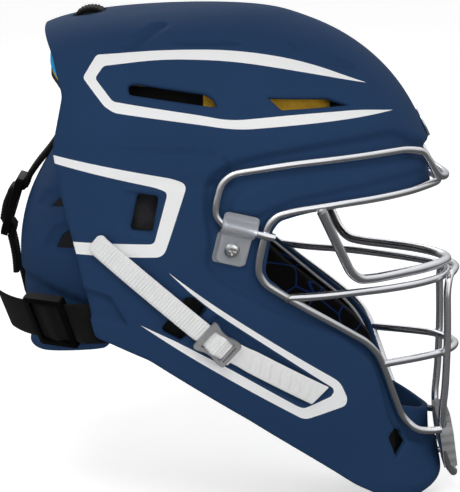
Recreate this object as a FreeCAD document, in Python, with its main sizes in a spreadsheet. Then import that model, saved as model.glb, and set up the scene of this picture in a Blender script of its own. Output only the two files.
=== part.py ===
"""Hockey-style catcher's helmet: shell with face opening, wire cage, liner, jaw straps and back plate.

Frame: +X is the way the face points, +Y the wearer's left, +Z up, in millimetres.
The origin is on the middle plane at ear height, at the middle of the head space.
"""
import FreeCAD, Part
import Sketcher
import math
import os
from FreeCAD import Placement, Rotation, Vector

doc = FreeCAD.newDocument("catchers_helmet")
nodes = []

RIGHT, LEFT = -1, 1
SIDES = {"right": RIGHT, "left": LEFT}
FAR = 400.0


# ---------------------------------------------------------------- driving dimensions
SIZES = {
    "shell_wall": 4.0, "recess_depth": 5.0, "plate_wall": 3.2,
    "wire_dia": 4.8, "eye_wire_dia": 6.0, "wire_inset": 2.3,
    "foam_layer": 5.5, "comfort_layer": 11.0, "side_foam": 9.0, "jaw_foam": 15.0,
    "brow_foam": 16.0, "chin_foam": 10.0, "plate_foam": 12.0, "foam_gap": 0.4,
    "webbing": 1.6, "harness_width": 25.0, "side_strap_width": 30.0, "jaw_strap_width": 13.0,
    "buckle_bar": 3.2, "buckle_play": 0.6,
    "ladder_length": 38.0, "ladder_width": 34.0, "side_ladder_length": 28.0, "side_ladder_width": 38.0,
    "glide_length": 22.0, "glide_width": 20.0,
    "clip_wall": 2.2, "clip_length": 27.0, "clip_width": 25.0, "clip_corner": 4.0,
    "screw_head_dia": 9.4, "screw_head_height": 2.8, "screw_dia": 4.0, "screw_length": 13.0,
    "nut_flange_dia": 11.0, "nut_flange": 1.2, "nut_barrel_dia": 6.0, "nut_length": 5.5,
    "badge_dia": 19.0, "badge_height": 1.6,
}
sheet = doc.addObject("Spreadsheet::Sheet", "Sizes")
for row, (alias, value) in enumerate(SIZES.items(), start=1):
    sheet.set("A%d" % row, alias)
    sheet.set("B%d" % row, str(value))
    sheet.setAlias("B%d" % row, alias)
doc.recompute()

# Level sections of the closed outer form: height, front x, rear x, x of the widest place,
# half width, and the superellipse exponents of the front and the rear half.
SHELL_STATIONS = [
    (114.5, -10, -10, -10, 0, 2.0, 2.0),
    (112.5, 26, -64, -18, 34, 2.0, 2.0),
    (108, 44, -98, -24, 54, 2.0, 2.1),
    (100, 64, -121, -28, 71, 2.0, 2.2),
    (84, 89, -136, -30, 87, 2.0, 2.3),
    (64, 108, -144, -30, 97, 2.0, 2.4),
    (40, 122, -149, -30, 103, 2.0, 2.5),
    (16, 131, -151, -30, 105, 2.0, 2.5),
    (-20, 134, -151, -30, 104, 2.0, 2.5),
    (-60, 134, -150, -28, 100, 1.9, 2.5),
    (-105, 133, -146, -20, 92, 1.85, 2.5),
    (-146, 134, -138, 0, 78, 1.75, 2.4),
    (-180, 137, -120, 10, 64, 1.8, 2.3),
    (-200, 133, -104, 15, 55, 1.9, 2.2),
    (-210, 118, -90, 15, 44, 2.0, 2.2),
]
PLATE_STATIONS = [
    (72, -50, -50, -50, 0, 2.0, 2.2),
    (62, 10, -78, -42, 46, 2.0, 2.2),
    (48, 30, -96, -40, 66, 2.0, 2.3),
    (32, 40, -108, -40, 79, 2.0, 2.4),
    (15, 50, -118, -40, 85, 2.0, 2.4),
    (-3, 50, -127, -40, 88, 2.0, 2.4),
    (-20, 50, -132, -40, 89, 2.0, 2.4),
    (-45, 50, -134, -40, 88.5, 2.0, 2.4),
    (-68, 50, -131, -40, 86.5, 2.0, 2.4),
    (-86, 50, -128, -40, 83.5, 2.0, 2.4),
    (-100, 50, -129, -40, 82.5, 2.0, 2.4),
    (-112, 50, -133, -40, 85.5, 2.0, 2.4),
]


def size(alias):
    return float(sheet.get(alias))


# ---------------------------------------------------------------- smooth closed forms
def cubic_through(knots, values):
    """Natural cubic spline through the values, as a function."""
    count = len(knots)
    step = [knots[i + 1] - knots[i] for i in range(count - 1)]
    slope = [(values[i + 1] - values[i]) / step[i] for i in range(count - 1)]
    bend, reach = [0.0] * count, [0.0] * count
    for i in range(1, count - 1):
        pivot = 2 * (step[i - 1] + step[i]) - step[i - 1] * reach[i - 1]
        reach[i] = step[i] / pivot
        bend[i] = (3 * (slope[i] - slope[i - 1]) - step[i - 1] * bend[i - 1]) / pivot
    for i in range(count - 2, 0, -1):
        bend[i] -= reach[i] * bend[i + 1]

    def value(at):
        i = 0
        while i < count - 2 and at > knots[i + 1]:
            i += 1
        run = at - knots[i]
        lean = slope[i] - step[i] * (2 * bend[i] + bend[i + 1]) / 3
        return values[i] + run * (lean + run * (bend[i] + run * (bend[i + 1] - bend[i]) / (3 * step[i])))

    return value


class Form:
    """A closed head form from level superellipse sections, which can be inset along its normal."""

    ROWS, COLUMNS = 44, 60

    def __init__(self, stations):
        self.top, self.bottom = stations[0][0], stations[-1][0]
        knots = [self.depth_of(station[0]) for station in stations]
        self.laws = [cubic_through(knots, [s[k] for s in stations]) for k in range(1, 7)]

    def depth_of(self, z):
        return math.sqrt(max(0.0, (self.top - z) / (self.top - self.bottom)))

    def height(self, depth):
        return self.top - (self.top - self.bottom) * depth * depth

    def section_point(self, turn, depth):
        """Point and level outward direction at an angle round the section: 0 is the front."""
        front, rear, wide, half, n_front, n_rear = [law(depth) for law in self.laws]
        c, s = math.cos(turn), math.sin(turn)
        reach, n = (front - wide, n_front) if c >= 0 else (rear - wide, n_rear)
        along, across = abs(c) ** (2 / n), abs(s) ** (2 / n)
        point = Vector(wide + reach * along, math.copysign(half * across, s), self.height(depth))
        out_x, out_y = along ** (n - 1) / (reach or 1e-9), across ** (n - 1) / max(half, 1e-9)
        out = Vector(out_x, math.copysign(out_y, s), 0)
        return point, out.normalize()

    def point(self, turn, depth, inset=0.0):
        """Point on the form, moved inwards along its normal."""
        depth = max(depth, 1e-4)
        point, out = self.section_point(turn, depth)
        small = 1e-4
        below, _ = self.section_point(turn, depth + small)
        down = (below - point) * (1 / small)
        normal = Vector(-down.z * out.x, -down.z * out.y, out.dot(Vector(down.x, down.y, 0))).normalize()
        return point - normal * inset

    def side_point(self, x, z, side, inset=0.0):
        """Point and outward normal on one side of the form, at a given x and z."""
        depth = self.depth_of(z)
        front, rear, wide, half, n_front, n_rear = [law(depth) for law in self.laws]
        reach, n = (front - wide, n_front) if x >= wide else (rear - wide, n_rear)
        share = min(1.0, (x - wide) / reach)
        turn = math.acos(share ** (n / 2))
        turn = side * (turn if x >= wide else math.pi - turn)
        outer, inner = self.point(turn, depth), self.point(turn, depth, 1.0)
        normal = outer - inner
        return outer - normal * inset, normal

    def solid(self, inset):
        """Closed solid inside the form moved inwards by the inset."""
        poles = []
        for row in range(self.ROWS + 1):
            depth = row / self.ROWS
            turns = [2 * math.pi * k / self.COLUMNS for k in range(self.COLUMNS)]
            poles.append([self.point(turn, depth, inset) for turn in turns])
        apex = self.point(0.0, 0.0, inset)
        poles[0] = [apex] * self.COLUMNS
        knots = list(range(self.ROWS - 1))
        ends = [4] + [1] * (len(knots) - 2) + [4]
        round_knots = list(range(self.COLUMNS + 1))
        surface = Part.BSplineSurface()
        surface.buildFromPolesMultsKnots(
            poles, ends, [1] * len(round_knots), knots, round_knots, False, True, 3, 3)
        side = surface.toShape()
        rim = [edge for edge in side.Edges if edge.BoundBox.ZMax < self.bottom + 2 * abs(inset) + 1]
        rim = [edge for edge in rim if edge.isClosed()]
        floor = Part.makeFilledFace(rim) if rim else None
        shell = Part.makeShell([side, floor])
        solid = Part.makeSolid(shell)
        if solid.Volume < 0:
            solid.reverse()
        return solid


shell_form = Form(SHELL_STATIONS)
plate_form = Form(PLATE_STATIONS)
form_cache = {}


def inside(form, inset):
    key = (id(form), round(inset, 3))
    if key not in form_cache:
        form_cache[key] = form.solid(inset)
    return form_cache[key]


# ---------------------------------------------------------------- shared makers
def add_shape(label, shape):
    """A sub-part whose shape no workbench feature makes directly."""
    feature = doc.addObject("Part::Feature", label)
    feature.Label = label
    feature.Shape = shape
    feature.Placement = Placement()
    nodes.append(feature)
    return feature


def prism(outline, low=-FAR, high=FAR):
    """Solid from an outline of (x, z) points, extruded along Y from low to high."""
    corners = [Vector(x, low, z) for x, z in outline]
    face = Part.Face(Part.makePolygon(corners + corners[:1]))
    return face.extrude(Vector(0, high - low, 0))


def side_prism(outline, side, near=4.0):
    """The same on one side of the middle plane only."""
    return prism(outline, near, FAR) if side == LEFT else prism(outline, -FAR, -near)


def layer(form, outer_inset, inner_inset, region):
    """The skin of a form between two insets, kept inside a region solid."""
    outer = inside(form, outer_inset).common(region)
    return outer.cut(inside(form, inner_inset))


def one_solid(shape):
    """The shape as a single solid where it is one, else its largest solid."""
    solids = sorted(shape.Solids, key=lambda solid: solid.Volume)
    return solids[-1]


def surface_placement(form, x, z, side, inset=0.0, heading=(1.0, 0.0)):
    """Local Z out of the surface, local X along the heading (x, z) projected on it."""
    point, normal = form.side_point(x, z, side, inset)
    along = Vector(heading[0], 0, heading[1])
    along = (along - normal * along.dot(normal)).normalize()
    rotation = Rotation(along, normal.cross(along), normal, "ZXY")
    return Placement(point, rotation)


# ---------------------------------------------------------------- shell
SHELL_OUTLINE = [
    (-117, 140), (-117, 104), (-108, 88), (-101, 66), (-103, 55), (-107, 34), (-101, 4), (-92, -32),
    (-84, -73), (-82, -81), (-74, -84), (-49, -95), (12, -136), (81, -187), (91, -193), (108, -206),
    (200, -206), (200, -147), (131, -147), (108, -139), (102, -118), (97, -103), (88, -92), (68, -78),
    (36, -56), (24, -46), (22, -40), (26, -16), (31, -9), (42, -6), (70, -1), (104, 4), (126, 8),
    (200, 8), (200, 140),
]
SHELL_FLOOR = -206
RECESS_OUTLINE = [
    (200, 27), (125, 27), (114, 34), (102, 40.5), (60, 37), (22, 32), (5, 28.5), (-9, 22), (-13.5, 14),
    (-15, -2), (-11, -18),
    (-14, -35), (-4, -46), (34, -68), (68, -83), (90, -102), (97, -122), (103, -147), (112, -161),
    (126, -166), (200, -168),
]
UPPER_SLOT = [(-62, 74), (-57, 75.5), (-15, 69.5), (-9, 66), (-7, 60.5), (-61, 68)]
FRONT_SLOT = [(22, 66.5), (60, 64.5), (74, 58.5), (31, 58)]
EAR_HOLE = [(-61, -13), (-56, 10.5), (-42, 9), (-46, -14.5)]
STRAP_VENT = [(-27, -54), (-22, -54), (-13, -62), (-26, -79), (-30, -83), (-41, -77), (-42, -74)]
CHIN_VENT = [(101, -158), (104.5, -153), (114, -157), (114.5, -163), (107, -174)]
CROWN_NOTCH = Vector(-99, -14.5, 95)
CLIP_X, CLIP_Z = 1.5, -25.5
CHIN_FRONT, CHIN_SCREW_Z = 134.8, -178.0


def shell_outer(region):
    """Outer form with the step down round the face opening."""
    raised = inside(shell_form, 0)
    lowered = inside(shell_form, size("recess_depth"))
    return raised.cut(prism(RECESS_OUTLINE).cut(lowered)).common(region)


def shell_inner():
    wall, depth = size("shell_wall"), size("recess_depth")
    raised = inside(shell_form, wall)
    lowered = inside(shell_form, wall + depth)
    grown = [(x - wall if x < 150 else x, z + (wall if z > -20 else -wall)) for x, z in RECESS_OUTLINE]
    hollow = raised.cut(prism(grown).cut(lowered))
    above_floor = Part.makeBox(2 * FAR, 2 * FAR, FAR, Vector(-FAR, -FAR, SHELL_FLOOR + wall))
    return hollow.common(above_floor)


def fastener_bore(placement, diameter, depth):
    """Round cutter through the wall, centred on a placement's local Z."""
    bore = Part.makeCylinder(diameter / 2, 2 * depth, Vector(0, 0, -depth), Vector(0, 0, 1))
    bore.Placement = placement
    return bore


def clip_placement(side):
    return surface_placement(shell_form, CLIP_X, CLIP_Z, side, size("recess_depth"), (1.0, -0.25))


def build_shell():
    shape = shell_outer(prism(SHELL_OUTLINE)).cut(shell_inner())
    openings = [UPPER_SLOT, FRONT_SLOT, EAR_HOLE, STRAP_VENT, CHIN_VENT]
    cutters = [side_prism(outline, side, 20.0) for outline in openings for side in SIDES.values()]
    bore_dia = size("screw_dia") + 0.6
    cutters += [fastener_bore(clip_placement(side), bore_dia, 12.0) for side in SIDES.values()]
    cutters.append(fastener_bore(chin_screw_placement(), bore_dia, 20.0))
    cutters.append(Part.makeBox(21, 29, 30, CROWN_NOTCH))
    shape = shape.cut(cutters)
    return one_solid(shape)


def chin_screw_placement():
    """Local Z points forward out of the chin, on the middle plane."""
    return Placement(Vector(CHIN_FRONT, 0, CHIN_SCREW_Z), Rotation(Vector(0, 1, 0), 90))


# ---------------------------------------------------------------- back plate
PLATE_OUTLINE = [
    (-140, 48), (-88, 48), (-80, 22), (-76, -40), (-73, -82), (-76, -90.5), (-104, -95.5), (-120, -99),
    (-140, -100),
]
PLATE_VENTS = [
    [(-110.5, -5.2), (-106, 0.6), (-88, 7), (-88, 0.5), (-104, -4.2)],
    [(-106.2, -29.8), (-103.5, -22), (-98.5, -17.5), (-86, -12), (-86, -27), (-100, -29.5)],
]


def build_back_plate():
    shape = layer(plate_form, 0, size("plate_wall"), prism(PLATE_OUTLINE))
    vents = [side_prism(outline, side, 12.0) for outline in PLATE_VENTS for side in SIDES.values()]
    return one_solid(shape.cut(vents))


# ---------------------------------------------------------------- padding
def pad(form, outer_inset, thickness, outline, side=None, near=4.0):
    region = prism(outline) if side is None else side_prism(outline, side, near)
    return one_solid(layer(form, outer_inset, outer_inset + thickness, region))


NUT_POCKET_DIA = 13.0
CROWN_OUTER_OUTLINE = [(-113.5, 140), (-113.5, 82), (-97, 65), (-80, 50), (125, 50), (125, 140)]
CROWN_INNER_OUTLINE = [(-117, 140), (-117, 81), (-99, 62), (-80, 50), (125, 50), (125, 140)]
COMFORT_OUTLINE = [(-122, 140), (-122, 77), (-98, 54), (100, 52), (100, 140)]
# Vent windows of the two foam layers, behind the shell's slots.
OUTER_FOAM_WINDOWS = [
    [(-66, 80), (-12, 76), (-3, 66), (-5, 55), (-66, 62)],
    [(18, 72), (64, 70), (80, 58), (78, 53), (26, 53)],
]
INNER_FOAM_WINDOWS = [
    [(-66, 80), (-18, 76), (-18, 55), (-66, 62)],
    [(54, 72), (64, 70), (80, 58), (78, 53), (54, 53)],
]
BROW_OUTLINE = [(66, 44), (66, 16), (130, 16), (130, 44)]
SIDE_FOAM_OUTLINE = [
    (-66, 44), (-66, -44), (-55, -50), (-52, -88), (-18, -106), (-18, -70), (6, -44), (14, -20), (16, 6),
    (60, 18), (60, 44),
]
JAW_OUTLINE = [
    (-14, -110), (-14, -70), (8, -50), (22, -47), (36, -59.5), (68, -81.5), (86, -95), (95, -108),
    (100, -124), (103, -142), (98, -168), (60, -160), (14, -128),
]
CHIN_OUTLINE = [(104, -152), (130, -152), (130, -198), (104, -198)]
PLATE_PAD_OUTLINE = [(-140, 40), (-94, 40), (-88, 10), (-86, -84), (-140, -89)]


def relieved(shape, placement):
    """Pocket in a pad for a nut and the end of its screw."""
    pocket = Part.makeCylinder(NUT_POCKET_DIA / 2, 40.0, Vector(0, 0, -20.0), Vector(0, 0, 1))
    return one_solid(shape.cut(pocket.transformed(placement.Matrix, copy=True)))


def vented(shape, windows):
    """A foam layer with its vent windows cut on both sides."""
    cutters = [side_prism(outline, side, 20.0) for outline in windows for side in SIDES.values()]
    return one_solid(shape.cut(cutters))


def build_padding():
    gap = size("foam_gap")
    foam, comfort = size("foam_layer"), size("comfort_layer")
    first = size("shell_wall") + gap
    second = first + foam + gap
    third = second + foam + gap
    behind_recess = size("shell_wall") + size("recess_depth") + 2 * gap
    outer_foam = pad(shell_form, first, foam, CROWN_OUTER_OUTLINE)
    add_shape("crown_foam_outer", vented(outer_foam, OUTER_FOAM_WINDOWS))
    inner_foam = pad(shell_form, second, foam, CROWN_INNER_OUTLINE)
    add_shape("crown_foam_inner", vented(inner_foam, INNER_FOAM_WINDOWS))
    add_shape("crown_comfort_pad", pad(shell_form, third, comfort, COMFORT_OUTLINE))
    add_shape("brow_pad", pad(shell_form, behind_recess, size("brow_foam"), BROW_OUTLINE))
    for name, side in SIDES.items():
        side_foam = pad(shell_form, behind_recess, size("side_foam"), SIDE_FOAM_OUTLINE, side)
        add_shape("side_foam_" + name, relieved(side_foam, clip_placement(side)))
        add_shape("jaw_pad_" + name,
                  pad(shell_form, behind_recess, size("jaw_foam"), JAW_OUTLINE, side, 12.0))
    chin_pad = pad(shell_form, behind_recess, size("chin_foam"), CHIN_OUTLINE)
    add_shape("chin_pad", relieved(chin_pad, chin_screw_placement()))
    add_shape("back_plate_pad",
              pad(plate_form, size("plate_wall") + gap, size("plate_foam"), PLATE_PAD_OUTLINE))


# ---------------------------------------------------------------- wire cage
def tangent_arcs(points):
    """Straight runs joined by tangent arcs, each as large as its two runs allow."""
    edges, start = [], points[0]
    for before, corner, after in zip(points, points[1:], points[2:]):
        back, ahead = before - corner, after - corner
        shorter = min(back.Length, ahead.Length)
        back.normalize()
        ahead.normalize()
        trim = 0.45 * shorter
        half_turn = (math.pi - back.getAngle(ahead)) / 2
        if half_turn < math.radians(0.5):
            continue
        first, last = corner + back * trim, corner + ahead * trim
        radius = trim / math.tan(half_turn)
        centre_way = (back + ahead).normalize()
        middle = corner + centre_way * (radius / math.cos(half_turn) - radius)
        edges.append(Part.LineSegment(start, first).toShape())
        edges.append(Part.Arc(first, middle, last).toShape())
        start = last
    edges.append(Part.LineSegment(start, points[-1]).toShape())
    return Part.Wire(edges)


def on_shell(x, z, lift=0.0):
    """A wire's centre on the right side of the shell, a little further out where it is lifted."""
    point, _ = shell_form.side_point(x, z, RIGHT, size("wire_inset") - lift)
    return point


def both_sides(right_half):
    """A left-to-right run from its right half, which starts on the middle plane."""
    left = [Vector(point.x, -point.y, point.z) for point in reversed(right_half[1:])]
    return left + right_half


def right_points(rows):
    return [Vector(x, RIGHT * y, z) for x, y, z in rows]


def cage_routes():
    """Centre lines of the cage wires."""
    outer = right_points([(138.5, 0, 5.7), (136.5, 14, 6.0), (131, 26, 8), (126, 31, 17), (121, 34, 25)])
    outer += [on_shell(x, z) for x, z in [
        (111, 28.5), (96, 28.6), (80, 28.0), (60, 27.2), (40, 26.2), (20, 24.0), (2, 21.5), (-5, 16),
        (-8.5, 3), (-8.6, -4), (-4, -9.6), (8, -13)]]
    outer += [on_shell(20.5, -16.6, 2.4), on_shell(26.8, -18.0, 2.6)]
    perimeter = right_points([(133.4, 0, 2.6), (132, 14, 3.0), (126.5, 28, 3.4)])
    perimeter += [on_shell(x, z) for x, z in [
        (116, 2.6), (102, 1.8), (86, 0.9), (70, 0.1), (55, -1.2), (40, -2.5), (29, -4.8), (23.5, -10),
        (20.5, -20), (17.8, -33), (17.2, -40), (21, -47.5), (34, -56.5), (50, -67), (68, -78.6),
        (86, -91), (94, -100.5), (99, -113), (105, -130), (111, -146)]]
    perimeter += right_points([(119, 34.5, -155.0), (127, 30, -157.2), (135.4, 26.5, -157)])
    eye_upper = right_points([
        (140.3, 0, -49.4), (138.4, 10, -49.4), (132, 22.5, -49.4), (121, 36, -49.6), (104, 50.5, -50),
        (90, 61.5, -50.4), (80, 69.2, -49.6), (74, 74.4, -44)])
    eye_upper.append(on_shell(56, -4.0, 0.7))
    eye_lower = right_points([
        (140.9, 0, -56.6), (138.8, 13, -56.9), (133.2, 26, -57.4), (118, 43, -57.8), (98, 58.5, -57.8),
        (75, 71.5, -57.6), (54, 80.5, -58)])
    eye_lower.append(on_shell(35.5, -57.4, 0.3))
    mouth = right_points([
        (147, 0, -105.6), (143.6, 14, -105.6), (134.3, 28.8, -105.8), (119.5, 39.5, -106.4)])
    mouth.append(on_shell(97.2, -107.5))
    chin = right_points([
        (146, 0, -54.6), (144.2, 12, -54.8), (139.6, 25, -56), (138, 28.2, -66), (138.8, 28.4, -97),
        (137.8, 28.2, -130), (135.9, 27.2, -148), (137.6, 21.5, -168), (142.2, 12.5, -185),
        (146.6, 5.5, -192), (146.9, 0.1, -192)])
    return {
        "cage_outer_wire": (both_sides(outer), "wire_dia"),
        "cage_perimeter_wire": (both_sides(perimeter), "wire_dia"),
        "cage_eye_wire_upper": (both_sides(eye_upper), "eye_wire_dia"),
        "cage_eye_wire_lower": (both_sides(eye_lower), "wire_dia"),
        "cage_mouth_wire": (both_sides(mouth), "wire_dia"),
        "cage_chin_wire": (both_sides(chin), "wire_dia"),
    }


def sweep_wire(label, route, diameter, extra=0.0):
    """A round bar along a route, its diameter bound to the sheet."""
    spine = doc.addObject("Part::Feature", label + "_route")
    spine.Shape = tangent_arcs(route)
    section = doc.addObject("Part::Circle", label + "_section")
    section.setExpression("Radius", "Sizes.%s / 2 + %g" % (diameter, extra))
    section.Placement = Placement(route[0], Rotation(Vector(0, 0, 1), route[1] - route[0]))
    bar = doc.addObject("Part::Sweep", label)
    bar.Label = label
    bar.Sections = [section]
    bar.Spine = (spine, ["Edge%d" % (k + 1) for k in range(len(spine.Shape.Edges))])
    bar.Solid = True
    bar.Frenet = False
    return bar


def build_cage():
    routes = cage_routes()
    for label, (route, diameter) in routes.items():
        nodes.append(sweep_wire(label, route, diameter))
    clipped = ("cage_outer_wire", "cage_chin_wire", "cage_perimeter_wire")
    return {label: sweep_wire(label + "_channel", routes[label][0], "wire_dia", 0.4) for label in clipped}


# ---------------------------------------------------------------- clips and fasteners
CHIN_SEAT = 143.2
CHIN_NUT_DROP = 4.2
SIDE_CLIP_HEIGHT, SIDE_CLIP_BELOW_SCREW = 6.6, 9.0
SCREW_SEAT_DIA = 12.0


def clip_blank(label, length, width, corner, height, drop, placement):
    """A rounded block, its sizes bound to the sheet, before its wire channel is cut."""
    block = doc.addObject("Part::Box", label + "_block")
    block.setExpression("Length", length)
    block.setExpression("Width", width)
    block.Height = height
    doc.recompute()
    rounded = doc.addObject("Part::Fillet", label + "_rounded")
    rounded.Base = block
    upright = [k + 1 for k, edge in enumerate(block.Shape.Edges) if abs(edge.tangentAt(0).z) > 0.9]
    rounded.Edges = [(k, corner, corner) for k in upright]
    doc.recompute()
    shape = rounded.Shape.copy()
    shape.translate(Vector(-size_of(length) / 2, drop, 0))
    shape.Placement = placement.multiply(shape.Placement)
    return shape


def size_of(expression):
    return size(expression.replace("Sizes.", ""))


def build_side_clips(channel):
    """Clear clips that hold the outer wire against the shell."""
    keep_off = inside(shell_form, size("recess_depth") - 0.3)
    wire = channel.Shape
    below = {RIGHT: -SIDE_CLIP_BELOW_SCREW, LEFT: SIDE_CLIP_BELOW_SCREW - size("clip_length")}
    for name, side in SIDES.items():
        blank = clip_blank("side_clip_" + name, "Sizes.clip_width", "Sizes.clip_length",
                           size("clip_corner"), SIDE_CLIP_HEIGHT, below[side], clip_placement(side))
        bore = fastener_bore(clip_placement(side), size("screw_dia") + 0.4, 12.0)
        above_wall = Vector(0, 0, size("clip_wall") + 0.3)
        seat = Part.makeCylinder(SCREW_SEAT_DIA / 2, 12.0, above_wall, Vector(0, 0, 1))
        seat.Placement = clip_placement(side)
        shape = blank.cut(keep_off).cut([wire, bore, seat])
        add_shape("side_clip_" + name, one_solid(shape))


def build_chin_clip(channels):
    """Translucent clip that ties both legs of the chin wire to the chin."""
    top, bottom = Vector(133.6, 0, -150), Vector(139.8, 0, -187)
    down = (bottom - top).normalize()
    out = Vector(-down.z, 0, down.x)
    reach = (bottom - top).Length
    sketch = [(-22, 0), (22, 0), (30, 9), (14, reach), (-14, reach), (-30, 9)]
    corners = [top + Vector(0, across, 0) + down * along for across, along in sketch]
    face = Part.Face(Part.makePolygon(corners + corners[:1]))
    block = face.extrude(out * 8.5)
    upright = [edge for edge in block.Edges if abs(edge.tangentAt(0).dot(out)) > 0.99]
    block = block.makeFillet(5.0, upright)
    bore = fastener_bore(chin_screw_placement(), size("screw_dia") + 0.4, 30.0)
    seat_start = Vector(CHIN_SEAT, 0, CHIN_SCREW_Z)
    seat = Part.makeCylinder(SCREW_SEAT_DIA / 2, 20.0, seat_start, Vector(1, 0, 0))
    wires = [channel.Shape for channel in channels]
    shape = block.cut(inside(shell_form, -0.3)).cut(wires + [bore, seat])
    add_shape("chin_clip", one_solid(shape))


def revolved_body(label, profile):
    """A turned piece from its profile of (radius, height) points about local Z."""
    body = doc.addObject("PartDesign::Body", label)
    sketch = body.newObject("Sketcher::SketchObject", label + "_profile")
    plane = [f for f in body.Origin.OriginFeatures if f.Role == "XZ_Plane"][0]
    sketch.AttachmentSupport = (plane, "")
    sketch.MapMode = "FlatFace"
    points = [Vector(radius, height, 0) for radius, height in profile]
    lines = [Part.LineSegment(a, b) for a, b in zip(points, points[1:] + points[:1])]
    sketch.addGeometry(lines, False)
    turned = body.newObject("PartDesign::Revolution", label + "_turned")
    turned.Profile = sketch
    turned.ReferenceAxis = (sketch, ["V_Axis"])
    turned.Angle = 360
    doc.recompute()
    return body


def screw_profile():
    head, shank = size("screw_head_dia") / 2, size("screw_dia") / 2
    top, length = size("screw_head_height"), size("screw_length")
    return [(0, -length), (shank, -length), (shank, 0), (head, 0), (head, 0.45 * top),
            (0.82 * head, 0.85 * top), (0.5 * head, top), (0, top)]


def nut_profile():
    flange, barrel = size("nut_flange_dia") / 2, size("nut_barrel_dia") / 2
    bore = size("screw_dia") / 2 + 0.05
    thick, length = size("nut_flange"), size("nut_length")
    return [(bore, 0), (flange, 0), (flange, thick), (barrel, thick), (barrel, length), (bore, length)]


def cross_recess(blank_top):
    """Two crossed bars that cut the driver recess."""
    arm = Part.makeBox(5.0, 1.1, 1.8, Vector(-2.5, -0.55, blank_top - 1.5))
    return arm.fuse(arm.rotated(Vector(0, 0, 0), Vector(0, 0, 1), 90))


def build_fasteners():
    """Screws from outside and tee nuts inside the shell, made once and set at each place."""
    screw = revolved_body("screw_master", screw_profile()).Shape
    screw = screw.cut(cross_recess(size("screw_head_height")))
    nut = revolved_body("nut_master", nut_profile()).Shape
    seat = size("clip_wall") + 0.4
    places = {"side": [clip_placement(side) for side in SIDES.values()], "chin": [chin_screw_placement()]}
    rise = {"side": seat, "chin": CHIN_SEAT + 0.1 - CHIN_FRONT}
    drop = {"side": size("shell_wall") + 0.7, "chin": CHIN_NUT_DROP}
    for place, placements in places.items():
        screws, nuts = [], []
        for placement in placements:
            screws.append(screw.transformed(
                placement.multiply(Placement(Vector(0, 0, rise[place]), Rotation())).Matrix, copy=True))
            turned_over = Placement(Vector(0, 0, -drop[place]), Rotation(Vector(1, 0, 0), 180))
            nuts.append(nut.transformed(placement.multiply(turned_over).Matrix, copy=True))
        add_shape(place + "_clip_screws", Part.makeCompound(screws))
        add_shape(place + "_clip_nuts", Part.makeCompound(nuts))


def centred_rectangle(body, name, level, length, width):
    """Rectangle sketch about the body's own centre, its sides bound to the sheet."""
    sketch = body.newObject("Sketcher::SketchObject", name)
    plane = [f for f in body.Origin.OriginFeatures if f.Role == "XY_Plane"][0]
    sketch.AttachmentSupport = (plane, "")
    sketch.MapMode = "FlatFace"
    sketch.AttachmentOffset = Placement(Vector(0, 0, level), Rotation())
    corners = [Vector(-9, -5, 0), Vector(9, -5, 0), Vector(9, 5, 0), Vector(-9, 5, 0)]
    sketch.addGeometry([Part.LineSegment(a, b) for a, b in zip(corners, corners[1:] + corners[:1])], False)
    Constraint = Sketcher.Constraint
    sketch.addConstraint([Constraint("Coincident", k, 2, (k + 1) % 4, 1) for k in range(4)])
    sketch.addConstraint([Constraint("Horizontal", 0), Constraint("Horizontal", 2)])
    sketch.addConstraint([Constraint("Vertical", 1), Constraint("Vertical", 3)])
    sketch.addConstraint(Constraint("Symmetric", 0, 1, 1, 2, -1, 1))
    sketch.addConstraint(Constraint("Distance", 0, 18))
    sketch.addConstraint(Constraint("Distance", 1, 10))
    sketch.renameConstraint(sketch.ConstraintCount - 2, "length")
    sketch.renameConstraint(sketch.ConstraintCount - 1, "width")
    sketch.setExpression("Constraints.length", length)
    sketch.setExpression("Constraints.width", width)
    return sketch


def feature_on(body, kind, name, sketch, height, reverse=False):
    feature = body.newObject("PartDesign::" + kind, name)
    feature.Profile = sketch
    feature.setExpression("Length", height)
    feature.Reversed = reverse
    return feature


def three_bar_buckle(label, length, width, strap_width, clearance, placement):
    """Slide buckle: the strap goes under both end bars and over the middle bar.

    Local X runs along the strap, local Z out of it, and local zero is the middle of the strap.
    """
    body = doc.addObject("PartDesign::Body", label)
    half, play, bar = "Sizes.webbing / 2", "Sizes.buckle_play", "Sizes.buckle_bar"
    slot = "%s + 1.2" % strap_width
    base = -(size("webbing") / 2 + size("buckle_play") + clearance)
    frame = centred_rectangle(body, label + "_outline", base, length, width)
    feature_on(body, "Pad", label + "_frame", frame,
               "%g + %s + %s + 0.8 * %s" % (-base, half, play, bar))
    window = centred_rectangle(body, label + "_window", base, "%s - 2 * %s" % (length, bar), slot)
    feature_on(body, "Pocket", label + "_window_cut", window, "20", True)
    tunnel = centred_rectangle(body, label + "_tunnel", base, "%s + 2" % length, slot)
    feature_on(body, "Pocket", label + "_tunnel_cut", tunnel, "%g + %s + %s" % (-base, half, play), True)
    middle = centred_rectangle(body, label + "_bar", base, bar, "%s + 2" % strap_width)
    feature_on(body, "Pad", label + "_middle_bar", middle, "%g" % clearance)
    body.Label = label
    body.Placement = placement
    doc.recompute()
    nodes.append(body)
    return body


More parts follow.
